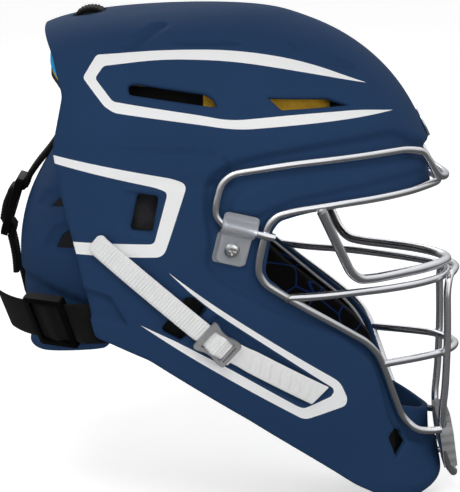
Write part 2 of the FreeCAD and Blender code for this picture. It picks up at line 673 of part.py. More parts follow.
# ---------------------------------------------------------------- straps and buckles
def ribbon(path, thickness, width, placement):
    """Flat webbing along a path of (x, y) points, extruded to its width about local Z."""
    left, right = [], []
    for k, here in enumerate(path):
        before = path[max(k - 1, 0)]
        after = path[min(k + 1, len(path) - 1)]
        run = Vector(after[0] - before[0], after[1] - before[1], 0).normalize()
        across = Vector(-run.y, run.x, 0)
        back = Vector(here[0] - before[0], here[1] - before[1], 0)
        stretch = 1.0 if k in (0, len(path) - 1) else 1 / max(0.5, math.cos(back.getAngle(run)))
        point = Vector(here[0], here[1], -width / 2)
        left.append(point + across * (thickness / 2 * stretch))
        right.append(point - across * (thickness / 2 * stretch))
    corners = left + right[::-1]
    shape = Part.Face(Part.makePolygon(corners + corners[:1])).extrude(Vector(0, 0, width))
    return shape.transformed(placement.Matrix, copy=True)


# Jaw strap: its middle line on the side of the shell, as (x, z).
STRAP_START, STRAP_BUCKLE, STRAP_END = (-83.5, -17.0), (-7.6, -83.5), (55.5, -121.6)


def band_outline(start, end, width, from_start=0.0, past_end=0.0):
    """Outline (x, z) of a straight band between two points."""
    along = Vector(end[0] - start[0], 0, end[1] - start[1])
    run = along.Length
    along.normalize()
    across = Vector(-along.z, 0, along.x) * (width / 2)
    origin = Vector(start[0], 0, start[1])
    low, high = origin + along * from_start, origin + along * (run + past_end)
    return [(p.x, p.z) for p in (low + across, high + across, high - across, low - across)]


def build_jaw_straps():
    webbing, width = size("webbing"), size("jaw_strap_width")
    lift = 2.6
    heading = (STRAP_BUCKLE[0] - STRAP_START[0], STRAP_BUCKLE[1] - STRAP_START[1])
    for name, side in SIDES.items():
        rear = side_prism(band_outline(STRAP_START, STRAP_BUCKLE, width, 0.0, 18.0), side, 20.0)
        strap = layer(shell_form, -(lift + webbing), -lift, rear)
        add_shape("jaw_strap_" + name, one_solid(strap))
        front = side_prism(band_outline(STRAP_BUCKLE, STRAP_END, width, 18.5, 0.0), side, 20.0)
        tab = layer(shell_form, -(0.5 + webbing), -0.5, front)
        add_shape("jaw_strap_tab_" + name, one_solid(tab))
        placement = surface_placement(shell_form, STRAP_BUCKLE[0], STRAP_BUCKLE[1], side,
                                      -(lift + webbing / 2), heading)
        three_bar_buckle("tri_glide_" + name, "Sizes.glide_length", "Sizes.glide_width",
                         "Sizes.jaw_strap_width", 1.5, placement)


# Elastic harness. The side buckle's place and run are the right side's, and the strap's lower edge
# leans in towards the neck.
SIDE_BUCKLE = Vector(-109.5, -77.5, -73.5)
SIDE_STRAP_RUN = Vector(-0.86, -0.51 * RIGHT, 0).normalize()
SIDE_STRAP_LEAN = math.radians(30)
TOP_BUCKLE = Vector(-139.0, 0, -13.5)
TOP_STRAP_RUN = Vector(-0.293, 0, -0.957).normalize()
BADGE_HEIGHT = 38.5


def top_strap_point(distance):
    """Point of the top strap in the middle plane as (x, -z), for a ribbon laid on its side."""
    point = TOP_BUCKLE + TOP_STRAP_RUN * distance
    return (point.x, -point.z)


def side_frame(side):
    """Buckle place, run, outward normal and upward width direction of a side strap."""
    flip = Vector(1, side * RIGHT, 1)
    spot, run = [Vector(v.x * flip.x, v.y * flip.y, v.z) for v in (SIDE_BUCKLE, SIDE_STRAP_RUN)]
    level_out = Vector(-abs(run.y), side * abs(run.x), 0)
    lean_in, upright = math.sin(SIDE_STRAP_LEAN), math.cos(SIDE_STRAP_LEAN)
    out = level_out * upright + Vector(0, 0, -lean_in)
    up = level_out * lean_in + Vector(0, 0, upright)
    return spot, run, out, up


def side_elastic(side):
    """The stretch of a side strap between the shell and its buckle, as seen from above."""
    spot, run, _, _ = side_frame(side)
    end = spot - run * 21.4
    inner = [(-62, side * 85.4), (-80, side * 85.4), (end.x, end.y)]
    level = Placement(Vector(0, 0, spot.z), Rotation())
    return ribbon(inner, size("webbing"), size("harness_width"), level)


def build_harness():
    webbing, width = size("webbing"), size("harness_width")
    for name, side in SIDES.items():
        spot, run, out, up = side_frame(side)
        add_shape("side_strap_" + name, side_elastic(side))
        lying = Placement(spot, Rotation(run, up.cross(run), up, "ZXY"))
        add_shape("side_strap_tail_" + name,
                  ribbon([(-20.4, 0), (38, 0)], webbing, size("side_strap_width"), lying))
        three_bar_buckle("side_buckle_" + name, "Sizes.side_ladder_length", "Sizes.side_ladder_width",
                         "Sizes.side_strap_width", 2.2,
                         Placement(spot, Rotation(run, out.cross(run), out, "ZXY")))
    upright = Placement(Vector(0, 0, 0), Rotation(Vector(1, 0, 0), -90))
    upper = [(-86, -62), (-98, -48.5), (-108.5, -34), (-118.5, -20.5), top_strap_point(-24.8)]
    lower = [top_strap_point(-24), top_strap_point(25), (-141.5, 50), (-138.3, 62)]
    add_shape("top_strap", ribbon(upper, webbing, width, upright))
    add_shape("top_strap_tail", ribbon(lower, webbing, width, upright))
    out = Vector(TOP_STRAP_RUN.z, 0, -TOP_STRAP_RUN.x)
    three_bar_buckle("rear_buckle", "Sizes.ladder_length", "Sizes.ladder_width", "Sizes.harness_width", 2.0,
                     Placement(TOP_BUCKLE, Rotation(TOP_STRAP_RUN, out.cross(TOP_STRAP_RUN), out, "ZXY")))
    arch = [(-96.6, -105.4), (-96.2, -108.6), (-93.6, -112), (-89.3, -113.6), (-84.8, -113), (-81.6, -110.6),
            (-80.6, -107.4)]
    add_shape("crown_strap_loop", ribbon(arch, webbing, width, upright))


def build_badge():
    """Plain round badge on the brow."""
    radius, height = size("badge_dia") / 2, size("badge_height")
    rim, sunk = 0.8 * radius, 0.7 * height
    profile = [(0, 0), (radius, 0), (radius, 0.6 * height), (0.92 * radius, height), (rim, height),
               (rim, sunk), (0, sunk)]
    disc = revolved_body("brow_badge", profile)
    disc.Label = "brow_badge"
    brow = shell_form.depth_of(BADGE_HEIGHT)
    point = shell_form.point(0.0, brow)
    normal = point - shell_form.point(0.0, brow, 1.0)
    disc.Placement = Placement(point + normal * 0.5, Rotation(Vector(0, 0, 1), normal))
    nodes.append(disc)


# ---------------------------------------------------------------- the whole helmet
add_shape("main_shell", build_shell())
add_shape("back_plate", build_back_plate())
build_padding()
channels = build_cage()
doc.recompute()
build_side_clips(channels["cage_outer_wire"])
build_chin_clip([channels["cage_chin_wire"], channels["cage_perimeter_wire"]])
build_fasteners()
build_jaw_straps()
build_harness()
build_badge()
doc.recompute()

for thing in doc.Objects:
    if "Invalid" in thing.State or "Error" in thing.State:
        raise RuntimeError("%s failed: %s" % (thing.Name, thing.State))
for node in nodes:
    if node.Shape.isNull() or not node.Shape.isValid():
        raise RuntimeError("%s has no valid shape" % node.Label)

os.makedirs("parts", exist_ok=True)
for node in nodes:
    node.Shape.exportStep("parts/%s.step" % node.Label)
    print(node.Label, len(node.Shape.Solids), round(node.Shape.Volume / 1000, 2), "cm3")
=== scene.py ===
"""Looks of the catcher's helmet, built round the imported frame.

Same frame as the design: +X the way the face points, +Y the wearer's left, +Z up. Shapes are
worked out in millimetres and turned into metres when a mesh is made.
"""
import math

import bmesh
import bpy
import numpy as np
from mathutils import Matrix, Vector
from mathutils.geometry import delaunay_2d_cdt


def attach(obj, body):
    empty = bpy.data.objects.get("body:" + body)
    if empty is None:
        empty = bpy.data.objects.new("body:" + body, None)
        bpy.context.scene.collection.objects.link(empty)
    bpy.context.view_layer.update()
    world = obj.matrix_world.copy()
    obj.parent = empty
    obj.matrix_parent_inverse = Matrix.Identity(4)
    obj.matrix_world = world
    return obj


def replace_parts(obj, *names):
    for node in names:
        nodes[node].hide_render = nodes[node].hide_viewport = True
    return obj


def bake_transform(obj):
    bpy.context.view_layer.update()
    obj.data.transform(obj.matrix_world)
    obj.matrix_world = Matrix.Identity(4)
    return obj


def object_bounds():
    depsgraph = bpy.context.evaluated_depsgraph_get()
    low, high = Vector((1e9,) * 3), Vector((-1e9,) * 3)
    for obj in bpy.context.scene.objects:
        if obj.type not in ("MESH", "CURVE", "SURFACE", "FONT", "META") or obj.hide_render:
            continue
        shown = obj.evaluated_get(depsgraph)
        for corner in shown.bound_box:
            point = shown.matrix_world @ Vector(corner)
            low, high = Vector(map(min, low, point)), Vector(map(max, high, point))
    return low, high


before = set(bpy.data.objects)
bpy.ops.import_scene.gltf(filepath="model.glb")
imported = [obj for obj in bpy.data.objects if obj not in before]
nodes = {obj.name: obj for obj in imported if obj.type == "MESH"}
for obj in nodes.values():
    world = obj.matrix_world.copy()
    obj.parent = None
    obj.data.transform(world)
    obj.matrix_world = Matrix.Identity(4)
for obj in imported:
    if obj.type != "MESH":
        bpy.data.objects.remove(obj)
cad_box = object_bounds()

MM = 0.001
RIGHT, LEFT = -1, 1
SIDES = {"right": RIGHT, "left": LEFT}


# ---------------------------------------------------------------- helmet forms, as in the design
# Level sections: height, front x, rear x, x of the widest place, half width, and the
# superellipse exponents of the front and the rear half.
SHELL_STATIONS = [
    (114.5, -10, -10, -10, 0, 2.0, 2.0),
    (112.5, 26, -64, -18, 34, 2.0, 2.0),
    (108, 44, -98, -24, 54, 2.0, 2.1),
    (100, 64, -121, -28, 71, 2.0, 2.2),
    (84, 89, -136, -30, 87, 2.0, 2.3),
    (64, 108, -144, -30, 97, 2.0, 2.4),
    (40, 122, -149, -30, 103, 2.0, 2.5),
    (16, 131, -151, -30, 105, 2.0, 2.5),
    (-20, 134, -151, -30, 104, 2.0, 2.5),
    (-60, 134, -150, -28, 100, 1.9, 2.5),
    (-105, 133, -146, -20, 92, 1.85, 2.5),
    (-146, 134, -138, 0, 78, 1.75, 2.4),
    (-180, 137, -120, 10, 64, 1.8, 2.3),
    (-200, 133, -104, 15, 55, 1.9, 2.2),
    (-210, 118, -90, 15, 44, 2.0, 2.2),
]
PLATE_STATIONS = [
    (72, -50, -50, -50, 0, 2.0, 2.2),
    (62, 10, -78, -42, 46, 2.0, 2.2),
    (48, 30, -96, -40, 66, 2.0, 2.3),
    (32, 40, -108, -40, 79, 2.0, 2.4),
    (15, 50, -118, -40, 85, 2.0, 2.4),
    (-3, 50, -127, -40, 88, 2.0, 2.4),
    (-20, 50, -132, -40, 89, 2.0, 2.4),
    (-45, 50, -134, -40, 88.5, 2.0, 2.4),
    (-68, 50, -131, -40, 86.5, 2.0, 2.4),
    (-86, 50, -128, -40, 83.5, 2.0, 2.4),
    (-100, 50, -129, -40, 82.5, 2.0, 2.4),
    (-112, 50, -133, -40, 85.5, 2.0, 2.4),
]
SHELL_WALL, PLATE_WALL, RECESS_DEPTH = 4.0, 3.2, 5.0


def cubic_through(knots, values):
    """Natural cubic spline through the values, as a function of an array."""
    knots, values = np.array(knots, float), np.array(values, float)
    step = np.diff(knots)
    slope = np.diff(values) / step
    count = len(knots)
    bend, reach = np.zeros(count), np.zeros(count)
    for i in range(1, count - 1):
        pivot = 2 * (step[i - 1] + step[i]) - step[i - 1] * reach[i - 1]
        reach[i] = step[i] / pivot
        bend[i] = (3 * (slope[i] - slope[i - 1]) - step[i - 1] * bend[i - 1]) / pivot
    for i in range(count - 2, 0, -1):
        bend[i] -= reach[i] * bend[i + 1]

    def value(at):
        i = np.clip(np.searchsorted(knots, at, side="left") - 1, 0, count - 2)
        run = at - knots[i]
        lean = slope[i] - step[i] * (2 * bend[i] + bend[i + 1]) / 3
        return values[i] + run * (lean + run * (bend[i] + run * (bend[i + 1] - bend[i]) / (3 * step[i])))

    return value


def unit(vectors):
    length = np.linalg.norm(vectors, axis=-1, keepdims=True)
    return vectors / np.maximum(length, 1e-12)


class Form:
    """A closed head form, with a flat map of its half for laying out outlines.

    A place is a turn round the level section, 0 at the front, and a depth from 0 at the crown
    to 1 at the bottom. On the flat map it is the length round the section and the length down.
    """

    ROWS, COLUMNS = 260, 241
    POLE = 1e-4  # the least depth, just off the crown
    HALVINGS, REFINEMENTS = 40, 9
    ON_MIDDLE = 2e-3  # turn that still counts as the middle plane

    def __init__(self, stations):
        self.top, self.bottom = stations[0][0], stations[-1][0]
        knots = [float(self.depth_of(station[0])) for station in stations]
        self.laws = [cubic_through(knots, [s[k] for s in stations]) for k in range(1, 7)]
        self.depths = np.linspace(self.POLE, 1, self.ROWS)
        self.turns = np.linspace(0, math.pi, self.COLUMNS)
        turn, depth = np.meshgrid(self.turns, self.depths)
        grid, _ = self.section(turn, depth)
        round_steps = np.linalg.norm(np.diff(grid, axis=1), axis=2)
        around = np.cumsum(round_steps, axis=1)
        self.round = np.concatenate([np.zeros((self.ROWS, 1)), around], axis=1)
        side = grid[:, self.COLUMNS // 2]
        self.down = np.concatenate([[0], np.cumsum(np.linalg.norm(np.diff(side, axis=0), axis=1))])

    def depth_of(self, z):
        return np.sqrt(np.clip((self.top - np.asarray(z, float)) / (self.top - self.bottom), 0, None))

    def section(self, turn, depth):
        """Points and level outward directions."""
        front, rear, wide, half, n_front, n_rear = [law(depth) for law in self.laws]
        c, s = np.cos(turn), np.sin(turn)
        ahead = c >= 0
        reach = np.where(ahead, front - wide, rear - wide)
        n = np.where(ahead, n_front, n_rear)
        along, across = np.abs(c) ** (2 / n), np.abs(s) ** (2 / n)
        z = self.top - (self.top - self.bottom) * depth * depth
        points = np.stack([wide + reach * along, np.sign(s) * half * across, z], axis=-1)
        reach = np.where(np.abs(reach) < 1e-9, 1e-9, reach)
        out_y = np.sign(s) * across ** (n - 1) / np.maximum(half, 1e-9)
        out = np.stack([along ** (n - 1) / reach, out_y, np.zeros_like(z)], axis=-1)
        return points, unit(out)

    def surface(self, turn, depth):
        """Points and outward normals."""
        depth = np.maximum(depth, self.POLE)
        points, out = self.section(turn, depth)
        below, _ = self.section(turn, depth + self.POLE)
        down = (below - points) / self.POLE
        level = out[..., 0] * down[..., 0] + out[..., 1] * down[..., 1]
        normals = np.stack([-down[..., 2] * out[..., 0], -down[..., 2] * out[..., 1], level], axis=-1)
        return points, unit(normals)

    def place(self, x, z):
        """Turn, depth and whether the place exists, for points of the side view."""
        x, z = np.asarray(x, float), np.asarray(z, float)
        depth = self.depth_of(z)
        front, rear, wide, half, n_front, n_rear = [law(depth) for law in self.laws]
        ahead = x >= wide
        reach = np.where(ahead, front - wide, rear - wide)
        n = np.where(ahead, n_front, n_rear)
        share = (x - wide) / np.where(np.abs(reach) < 1e-9, 1e-9, reach)
        turn = np.arccos(np.clip(share, 0, 1) ** (n / 2))
        turn = np.where(ahead, turn, math.pi - turn)
        exists = (share <= 1) & (z <= self.top) & (z >= self.bottom)
        return turn, depth, exists

    def on_side(self, x, z, side=RIGHT, lift=0.0):
        """Point and normal on one side, as arrays, raised by the lift."""
        turn, depth, _ = self.place(x, z)
        points, normals = self.surface(turn, depth)
        points = points + normals * np.asarray(lift, float)[..., None]
        flip = np.array([1, side, 1])
        return points * flip, normals * flip

    def _rows(self, depth):
        at = np.clip((depth - self.depths[0]) / (self.depths[1] - self.depths[0]), 0, self.ROWS - 1.000001)
        low = at.astype(int)
        return low, at - low

    def flat(self, turn, depth):
        low, mix = self._rows(depth)
        at = np.clip(turn / math.pi * (self.COLUMNS - 1), 0, self.COLUMNS - 1.000001)
        column = at.astype(int)
        part = at - column

        def row(index):
            return self.round[index, column] * (1 - part) + self.round[index, column + 1] * part

        around = row(low) * (1 - mix) + row(low + 1) * mix
        return np.stack([around, np.interp(depth, self.depths, self.down)], axis=-1)

    def unflat(self, flat):
        """Turn and depth of points on the flat map, and how far they lie past the rear."""
        depth = np.interp(flat[:, 1], self.down, self.depths)
        low, mix = self._rows(depth)
        rows = self.round[low] * (1 - mix)[:, None] + self.round[low + 1] * mix[:, None]
        column = np.clip((rows < flat[:, :1]).sum(axis=1) - 1, 0, self.COLUMNS - 2)
        index = np.arange(len(flat))
        start, end = rows[index, column], rows[index, column + 1]
        part = np.clip((flat[:, 0] - start) / np.maximum(end - start, 1e-9), 0, 1)
        return (column + part) * math.pi / (self.COLUMNS - 1), depth, flat[:, 0] - rows[:, -1]

    def trace(self, outline, step=2.0):
        """Chains of flat-map points along a side-view outline, cut where it leaves the form."""
        outline = np.array(outline, float)
        points = []
        for a, b in zip(outline, np.roll(outline, -1, axis=0)):
            count = max(1, int(math.ceil(np.linalg.norm(b - a) / step)))
            points += [a + (b - a) * k / count for k in range(count)]
        points.append(outline[0])
        points = np.array(points)
        _, _, exists = self.place(points[:, 0], points[:, 1])
        chains, chain = [], []
        for k, point in enumerate(points):
            if k and exists[k] != exists[k - 1]:
                inner, outer = (point, points[k - 1]) if exists[k] else (points[k - 1], point)
                for _ in range(self.HALVINGS):
                    middle = (inner + outer) / 2
                    if self.place(middle[0], middle[1])[2]:
                        inner = middle
                    else:
                        outer = middle
                chain.append(inner)
                if not exists[k]:
                    chains.append(chain)
                    chain = []
            if exists[k]:
                chain.append(point)
        if chain:
            chains.append(chain)
        if len(chains) > 1 and exists[0] and exists[-1]:
            chains[0] = chains.pop() + chains[0][1:]
        return [self._refined(np.array(chain), step) for chain in chains if len(chain) > 1]

    def _refined(self, chain, step):
        for _ in range(self.REFINEMENTS):
            turn, depth, _ = self.place(chain[:, 0], chain[:, 1])
            gaps = np.linalg.norm(np.diff(self.flat(turn, depth), axis=0), axis=1)
            wide = np.nonzero(gaps > 1.5 * step)[0]
            if not len(wide):
                break
            chain = np.insert(chain, wide + 1, (chain[wide] + chain[wide + 1]) / 2, axis=0)
        turn, depth, _ = self.place(chain[:, 0], chain[:, 1])
        turn = np.where(turn < self.ON_MIDDLE, 0, turn)
        turn = np.where(turn > math.pi - self.ON_MIDDLE, math.pi, turn)
        return self.flat(turn, depth)


CORNER_STEPS, CORNER_SHARE = 6, 0.48


def rounded(outline, radius=2.0):
    """The outline with rounded corners. A corner's third value is how far its rounding reaches."""
    points = [np.array(point[:2], float) for point in outline]
    reaches = [point[2] if len(point) > 2 else radius for point in outline]
    count = len(points)
    made = []
    for k, corner in enumerate(points):
        if not reaches[k]:
            made.append(corner)
            continue
        before, after = points[k - 1] - corner, points[(k + 1) % count] - corner
        shorter = min(np.linalg.norm(before), np.linalg.norm(after))
        trim = min(reaches[k], CORNER_SHARE * shorter)
        first, last = corner + unit(before) * trim, corner + unit(after) * trim
        for part in np.linspace(0, 1, CORNER_STEPS + 1):
            made.append(first * (1 - part) ** 2 + corner * 2 * part * (1 - part) + last * part ** 2)
    return made


def rectangle(a, b, middle=(0, 0)):
    """Corners of a rectangle of half sides a and b."""
    x, y = middle
    return [(x - a, y - b), (x + a, y - b), (x + a, y + b), (x - a, y + b)]


def within(outline, x, z):
    """Whether side-view points lie inside an outline."""
    outline = np.array(outline, float)
    inside = np.zeros(np.shape(x), bool)
    for (ax, az), (bx, bz) in zip(outline, np.roll(outline, -1, axis=0)):
        if az == bz:
            continue
        crosses = (az > z) != (bz > z)
        inside ^= crosses & (x < ax + (z - az) * (bx - ax) / (bz - az))
    return inside


def chain_distance(points, chains):
    """Distance of flat-map points to the nearest chain."""
    best = np.full(len(points), 1e9)
    for chain in chains:
        for a, b in zip(chain[:-1], chain[1:]):
            run = b - a
            part = np.clip(((points - a) @ run) / max(run @ run, 1e-9), 0, 1)
            gap = points - a - part[:, None] * run
            best = np.minimum(best, gap[:, 0] ** 2 + gap[:, 1] ** 2)
    return np.sqrt(best)


def smooth(values):
    values = np.clip(values, 0, 1)
    return values * values * (3 - 2 * values)


class Step:
    """A step in the surface along an outline: sunk by a depth inside it, over a slope."""

    def __init__(self, outline, depth, slope, shift=0.0, fade=None):
        self.outline, self.depth, self.slope, self.shift = outline, depth, slope, shift
        self.fade = fade

    def prepare(self, form):
        self.chains = form.trace(self.outline)

    def sink(self, flat, x, z):
        distance = chain_distance(flat, self.chains)
        signed = np.where(within(self.outline, x, z), distance, -distance)
        amount = self.depth * smooth((signed - self.shift) / self.slope)
        return amount * self.fade(x, z) if self.fade else amount


class Crease(Step):
    """A step just inside the outline that rises back to the surface over its slope."""

    DROP = 2.5

    def sink(self, flat, x, z):
        distance = chain_distance(flat, self.chains)
        shape = smooth(distance / self.DROP) * (1 - smooth(distance / self.slope))
        amount = np.where(within(self.outline, x, z), self.depth * shape, 0)
        return amount * self.fade(x, z) if self.fade else amount


class Lip(Step):
    """A chamfer that dips towards the edge of an opening."""

    def sink(self, flat, x, z):
        distance = chain_distance(flat, self.chains)
        return self.depth * (1 - smooth(distance / self.slope))


# Gaps between places along openings and paint edges, in millimetres, and between the rows, the
# step lines and the grid, as shares of a skin's spacing.
OPENING_GAP, PAINT_GAP = 1.2, 1.5
ROW_SHARE, STEP_SHARE, GRID_SHARE = 0.87, 0.45, 0.62
MIDDLE_REACH = 0.02


def skin_half(form, outline, openings, steps, paint, spacing):
    """Right half of a skin: places, how far each is sunk, its faces and their paint."""
    for step in steps:
        step.prepare(form)
    chains = form.trace(outline)
    for opening in openings:
        chains += form.trace(opening, OPENING_GAP)
    for area in paint:
        chains += form.trace(area, PAINT_GAP)
    depths = np.interp(np.arange(0, form.down[-1], spacing), form.down, form.depths)
    chains.append(form.flat(np.zeros_like(depths), depths))
    chains.append(form.flat(np.full_like(depths, math.pi), depths))
    places, edges = [], []
    for chain in chains:
        first = len(places)
        places += list(chain)
        edges += [(first + k, first + k + 1) for k in range(len(chain) - 1)]
    loose = []
    for step in steps:
        low, high = step.shift, step.shift + step.slope
        for chain in step.chains:
            run = unit(np.gradient(chain, axis=0))
            across = np.stack([-run[:, 1], run[:, 0]], axis=1)
            for gap in np.linspace(low, high, 4):
                loose += list(chain + across * gap) + list(chain - across * gap)
    grid = []
    for row, level in enumerate(np.arange(0, form.down[-1], spacing * ROW_SHARE)):
        shift = 0.5 * spacing * (row % 2)
        grid += [(around, level) for around in np.arange(shift, form.round.max(), spacing)]
    add_clear(places, loose, STEP_SHARE * spacing)
    add_clear(places, grid, GRID_SHARE * spacing)
    flat, _, faces, _, _, _ = delaunay_2d_cdt([Vector(p) for p in places], edges, [], 0, 1e-4)
    flat = np.array([tuple(v) for v in flat])
    faces = np.array([tuple(face) for face in faces])
    middle = flat[faces].mean(axis=1)
    turn, depth, past = form.unflat(middle)
    points, _ = form.surface(turn, depth)
    x, z = points[:, 0], points[:, 2]
    keep = (past < 0) & within(outline, x, z)
    for opening in openings:
        keep &= ~within(opening, x, z)
    painted = np.zeros(len(faces), bool)
    for area in paint:
        painted |= within(area, x, z)
    faces, painted = faces[keep], painted[keep]
    used, faces = np.unique(faces, return_inverse=True)
    faces = faces.reshape(-1, 3)
    flat = flat[used]
    turn, depth, past = form.unflat(flat)
    turn = np.where(flat[:, 0] < MIDDLE_REACH, 0, np.where(past > -MIDDLE_REACH, math.pi, turn))
    points, _ = form.surface(turn, depth)
    sunk = np.zeros(len(flat))
    for step in steps:
        sunk += step.sink(flat, points[:, 0], points[:, 2])
    return turn, depth, sunk, faces, painted


def add_clear(places, extra, gap):
    """Adds to the places the extra ones that stay clear of them and of each other."""
    taken = {}

    def cell(place):
        return int(place[0] // gap), int(place[1] // gap)

    for place in places:
        taken.setdefault(cell(place), []).append(place)
    for place in extra:
        column, row = cell(place)
        around = [(column + i, row + j) for i in (-1, 0, 1) for j in (-1, 0, 1)]
        near = [other for spot in around for other in taken.get(spot, ())]
        if all((place[0] - o[0]) ** 2 + (place[1] - o[1]) ** 2 > gap * gap for o in near):
            taken.setdefault((column, row), []).append(place)
            places.append(place)


def boundary_loops(faces):
    """Ordered loops of boundary vertices, each running with its faces on the left."""
    follow = {}
    seen = {(int(a), int(b)) for face in faces for a, b in zip(face, np.roll(face, -1))}
    for a, b in seen:
        if (b, a) not in seen:
            follow.setdefault(a, []).append(b)
    loops = []
    while follow:
        start = next(iter(follow))
        loop, here = [start], start
        while True:
            ahead = follow[here].pop()
            if not follow[here]:
                del follow[here]
            if ahead == start:
                break
            loop.append(ahead)
            here = ahead
        loops.append(loop)
    return loops


# A rounded edge: how far each ring stands out, and how far through the wall it lies.
EDGE_RINGS = ((0.7, 0.12), (1.0, 0.35), (1.0, 0.75), (0.6, 0.93))


def build_skin(name, form, half, wall, inner_extra, edge=0.6):
    """Closed skin with both sides, its wall and softened edges, as a mesh object."""
    turn, depth, sunk, faces, painted = half
    points, normals = form.surface(turn, depth)
    middle = (turn == 0) | (turn == math.pi)
    points[middle, 1] = 0
    normals[middle, 1] = 0
    normals = unit(normals)
    count = len(points)
    mirror_of = np.where(middle, np.arange(count), count + np.cumsum(~middle) - 1)
    points = np.concatenate([points, points[~middle] * [1, -1, 1]])
    normals = np.concatenate([normals, normals[~middle] * [1, -1, 1]])
    sunk = np.concatenate([sunk, sunk[~middle]])
    faces = np.concatenate([faces, mirror_of[faces][:, ::-1]])
    painted = np.concatenate([painted, painted])
    a, b, c = points[faces[:, 0]], points[faces[:, 1]], points[faces[:, 2]]
    wrong = np.einsum("ij,ij->i", np.cross(b - a, c - a), normals[faces[:, 0]]) < 0
    faces[wrong] = faces[wrong][:, ::-1]
    outer = points - normals * sunk[:, None]
    inner = points - normals * (wall + inner_extra(sunk))[:, None]
    total = len(points)
    vertices = [outer, inner]
    polygons = [tuple(face) for face in faces]
    inks = [int(flag) for flag in painted]
    polygons += [tuple(face[::-1] + total) for face in faces]
    inks += [0] * len(faces)
    made = 2 * total
    for loop in boundary_loops(faces):
        loop = np.array(loop)
        run = unit(np.roll(outer[loop], -1, axis=0) - np.roll(outer[loop], 1, axis=0))
        away = unit(np.cross(run, normals[loop]))
        high, low = outer[loop], inner[loop]
        rings = [loop]
        for out, level in EDGE_RINGS:
            vertices.append(high * (1 - level) + low * level + away * edge * out)
            rings.append(made + np.arange(len(loop)))
            made += len(loop)
        rings.append(loop + total)
        for near, far in zip(rings, rings[1:]):
            for k in range(len(loop)):
                ahead = (k + 1) % len(loop)
                polygons.append((near[k], far[k], far[ahead], near[ahead]))
                inks.append(0)
    return make_mesh(name, np.concatenate(vertices), polygons, inks)


def make_mesh(name, points, polygons, inks=None):
    """A mesh object from points in millimetres."""
    mesh = bpy.data.meshes.new(name)
    points = [tuple(p) for p in np.asarray(points) * MM]
    mesh.from_pydata(points, [], [tuple(int(i) for i in face) for face in polygons])
    if inks is not None:
        mesh.polygons.foreach_set("material_index", inks)
    mesh.polygons.foreach_set("use_smooth", [True] * len(mesh.polygons))
    mesh.update()
    thing = bpy.data.objects.new(name, mesh)
    bpy.context.scene.collection.objects.link(thing)
    return thing


# ---------------------------------------------------------------- materials
def new_material(name, base, rough, metal=0.0, spec=0.5):
    material = bpy.data.materials.new(name)
    material.use_nodes = True
    shader = shader_of(material)
    shader.inputs["Base Color"].default_value = (*base, 1)
    shader.inputs["Roughness"].default_value = rough
    shader.inputs["Metallic"].default_value = metal
    shader.inputs["Specular IOR Level"].default_value = spec
    return material


def node(material, kind, **settings):
    made = material.node_tree.nodes.new(kind)
    for key, value in settings.items():
        if key in made.inputs.keys():
            made.inputs[key].default_value = value
        else:
            setattr(made, key, value)
    return made


def wire_up(material, source, target):
    material.node_tree.links.new(source, target)


def shader_of(material):
    return material.node_tree.nodes["Principled BSDF"]


def textured(material, kind, **settings):
    """A texture laid out in the object's own coordinates."""
    texture = node(material, kind, **settings)
    coords = node(material, "ShaderNodeTexCoord").outputs["Object"]
    wire_up(material, coords, texture.inputs["Vector"])
    return texture.outputs


def noise_of(material, scale, detail=3.0):
    return textured(material, "ShaderNodeTexNoise", Scale=scale, Detail=detail)["Fac"]


def tint(material, source, low, high, start=0.3, end=0.7):
    """Base colour that varies between two tones with a pattern."""
    ramp = node(material, "ShaderNodeValToRGB")
    ramp.color_ramp.elements[0].position = start
    ramp.color_ramp.elements[1].position = end
    ramp.color_ramp.elements[0].color = (*low, 1)
    ramp.color_ramp.elements[1].color = (*high, 1)
    wire_up(material, source, ramp.inputs["Fac"])
    wire_up(material, ramp.outputs["Color"], shader_of(material).inputs["Base Color"])
    return ramp.outputs["Color"]


def ranged(owner, source, low, high, full=1.0):
    """A value that runs from low to high while its source runs from nothing to full."""
    spread = node(owner, "ShaderNodeMapRange")
    for key, value in {"From Max": full, "To Min": low, "To Max": high}.items():
        spread.inputs[key].default_value = value
    wire_up(owner, source, spread.inputs["Value"])
    return spread.outputs["Result"]


def rough_range(material, source, low, high):
    wire_up(material, ranged(material, source, low, high), shader_of(material).inputs["Roughness"])


def bump(material, source, strength, distance):
    bumper = node(material, "ShaderNodeBump", Strength=strength, Distance=distance)
    wire_up(material, source, bumper.inputs["Height"])
    wire_up(material, bumper.outputs["Normal"], shader_of(material).inputs["Normal"])


def painted_plastic(name, low, high, rough):
    """Matt sprayed paint: faint tone drift and a fine orange-peel skin."""
    material = new_material(name, high, rough, spec=0.02)
    tint(material, noise_of(material, 9.0, 4.0), low, high)
    rough_range(material, noise_of(material, 60.0), rough - 0.05, rough + 0.05)
    bump(material, noise_of(material, 900.0, 2.0), 0.12, 0.0002)
    return material


def satin_metal(name, low, high, rough):
    material = new_material(name, high, rough, metal=1.0)
    tint(material, noise_of(material, 30.0, 2.0), low, high)
    rough_range(material, noise_of(material, 90.0), rough - 0.04, rough + 0.05)
    bump(material, noise_of(material, 400.0, 2.0), 0.04, 0.0001)
    return material


def foam(name, low, high):
    material = new_material(name, high, 0.85, spec=0.2)
    cells = textured(material, "ShaderNodeTexVoronoi", Scale=650.0)
    tint(material, noise_of(material, 120.0, 5.0), low, high)
    bump(material, cells["Distance"], 0.5, 0.0006)
    return material


def moulded(name, low, high, rough, spec=0.45):
    """Moulded plastic with a fine spark-eroded grain."""
    material = new_material(name, high, rough, spec=spec)
    tint(material, noise_of(material, 70.0, 4.0), low, high)
    rough_range(material, noise_of(material, 400.0), rough - 0.07, rough + 0.07)
    bump(material, noise_of(material, 1500.0, 2.0), 0.25, 0.0002)
    return material


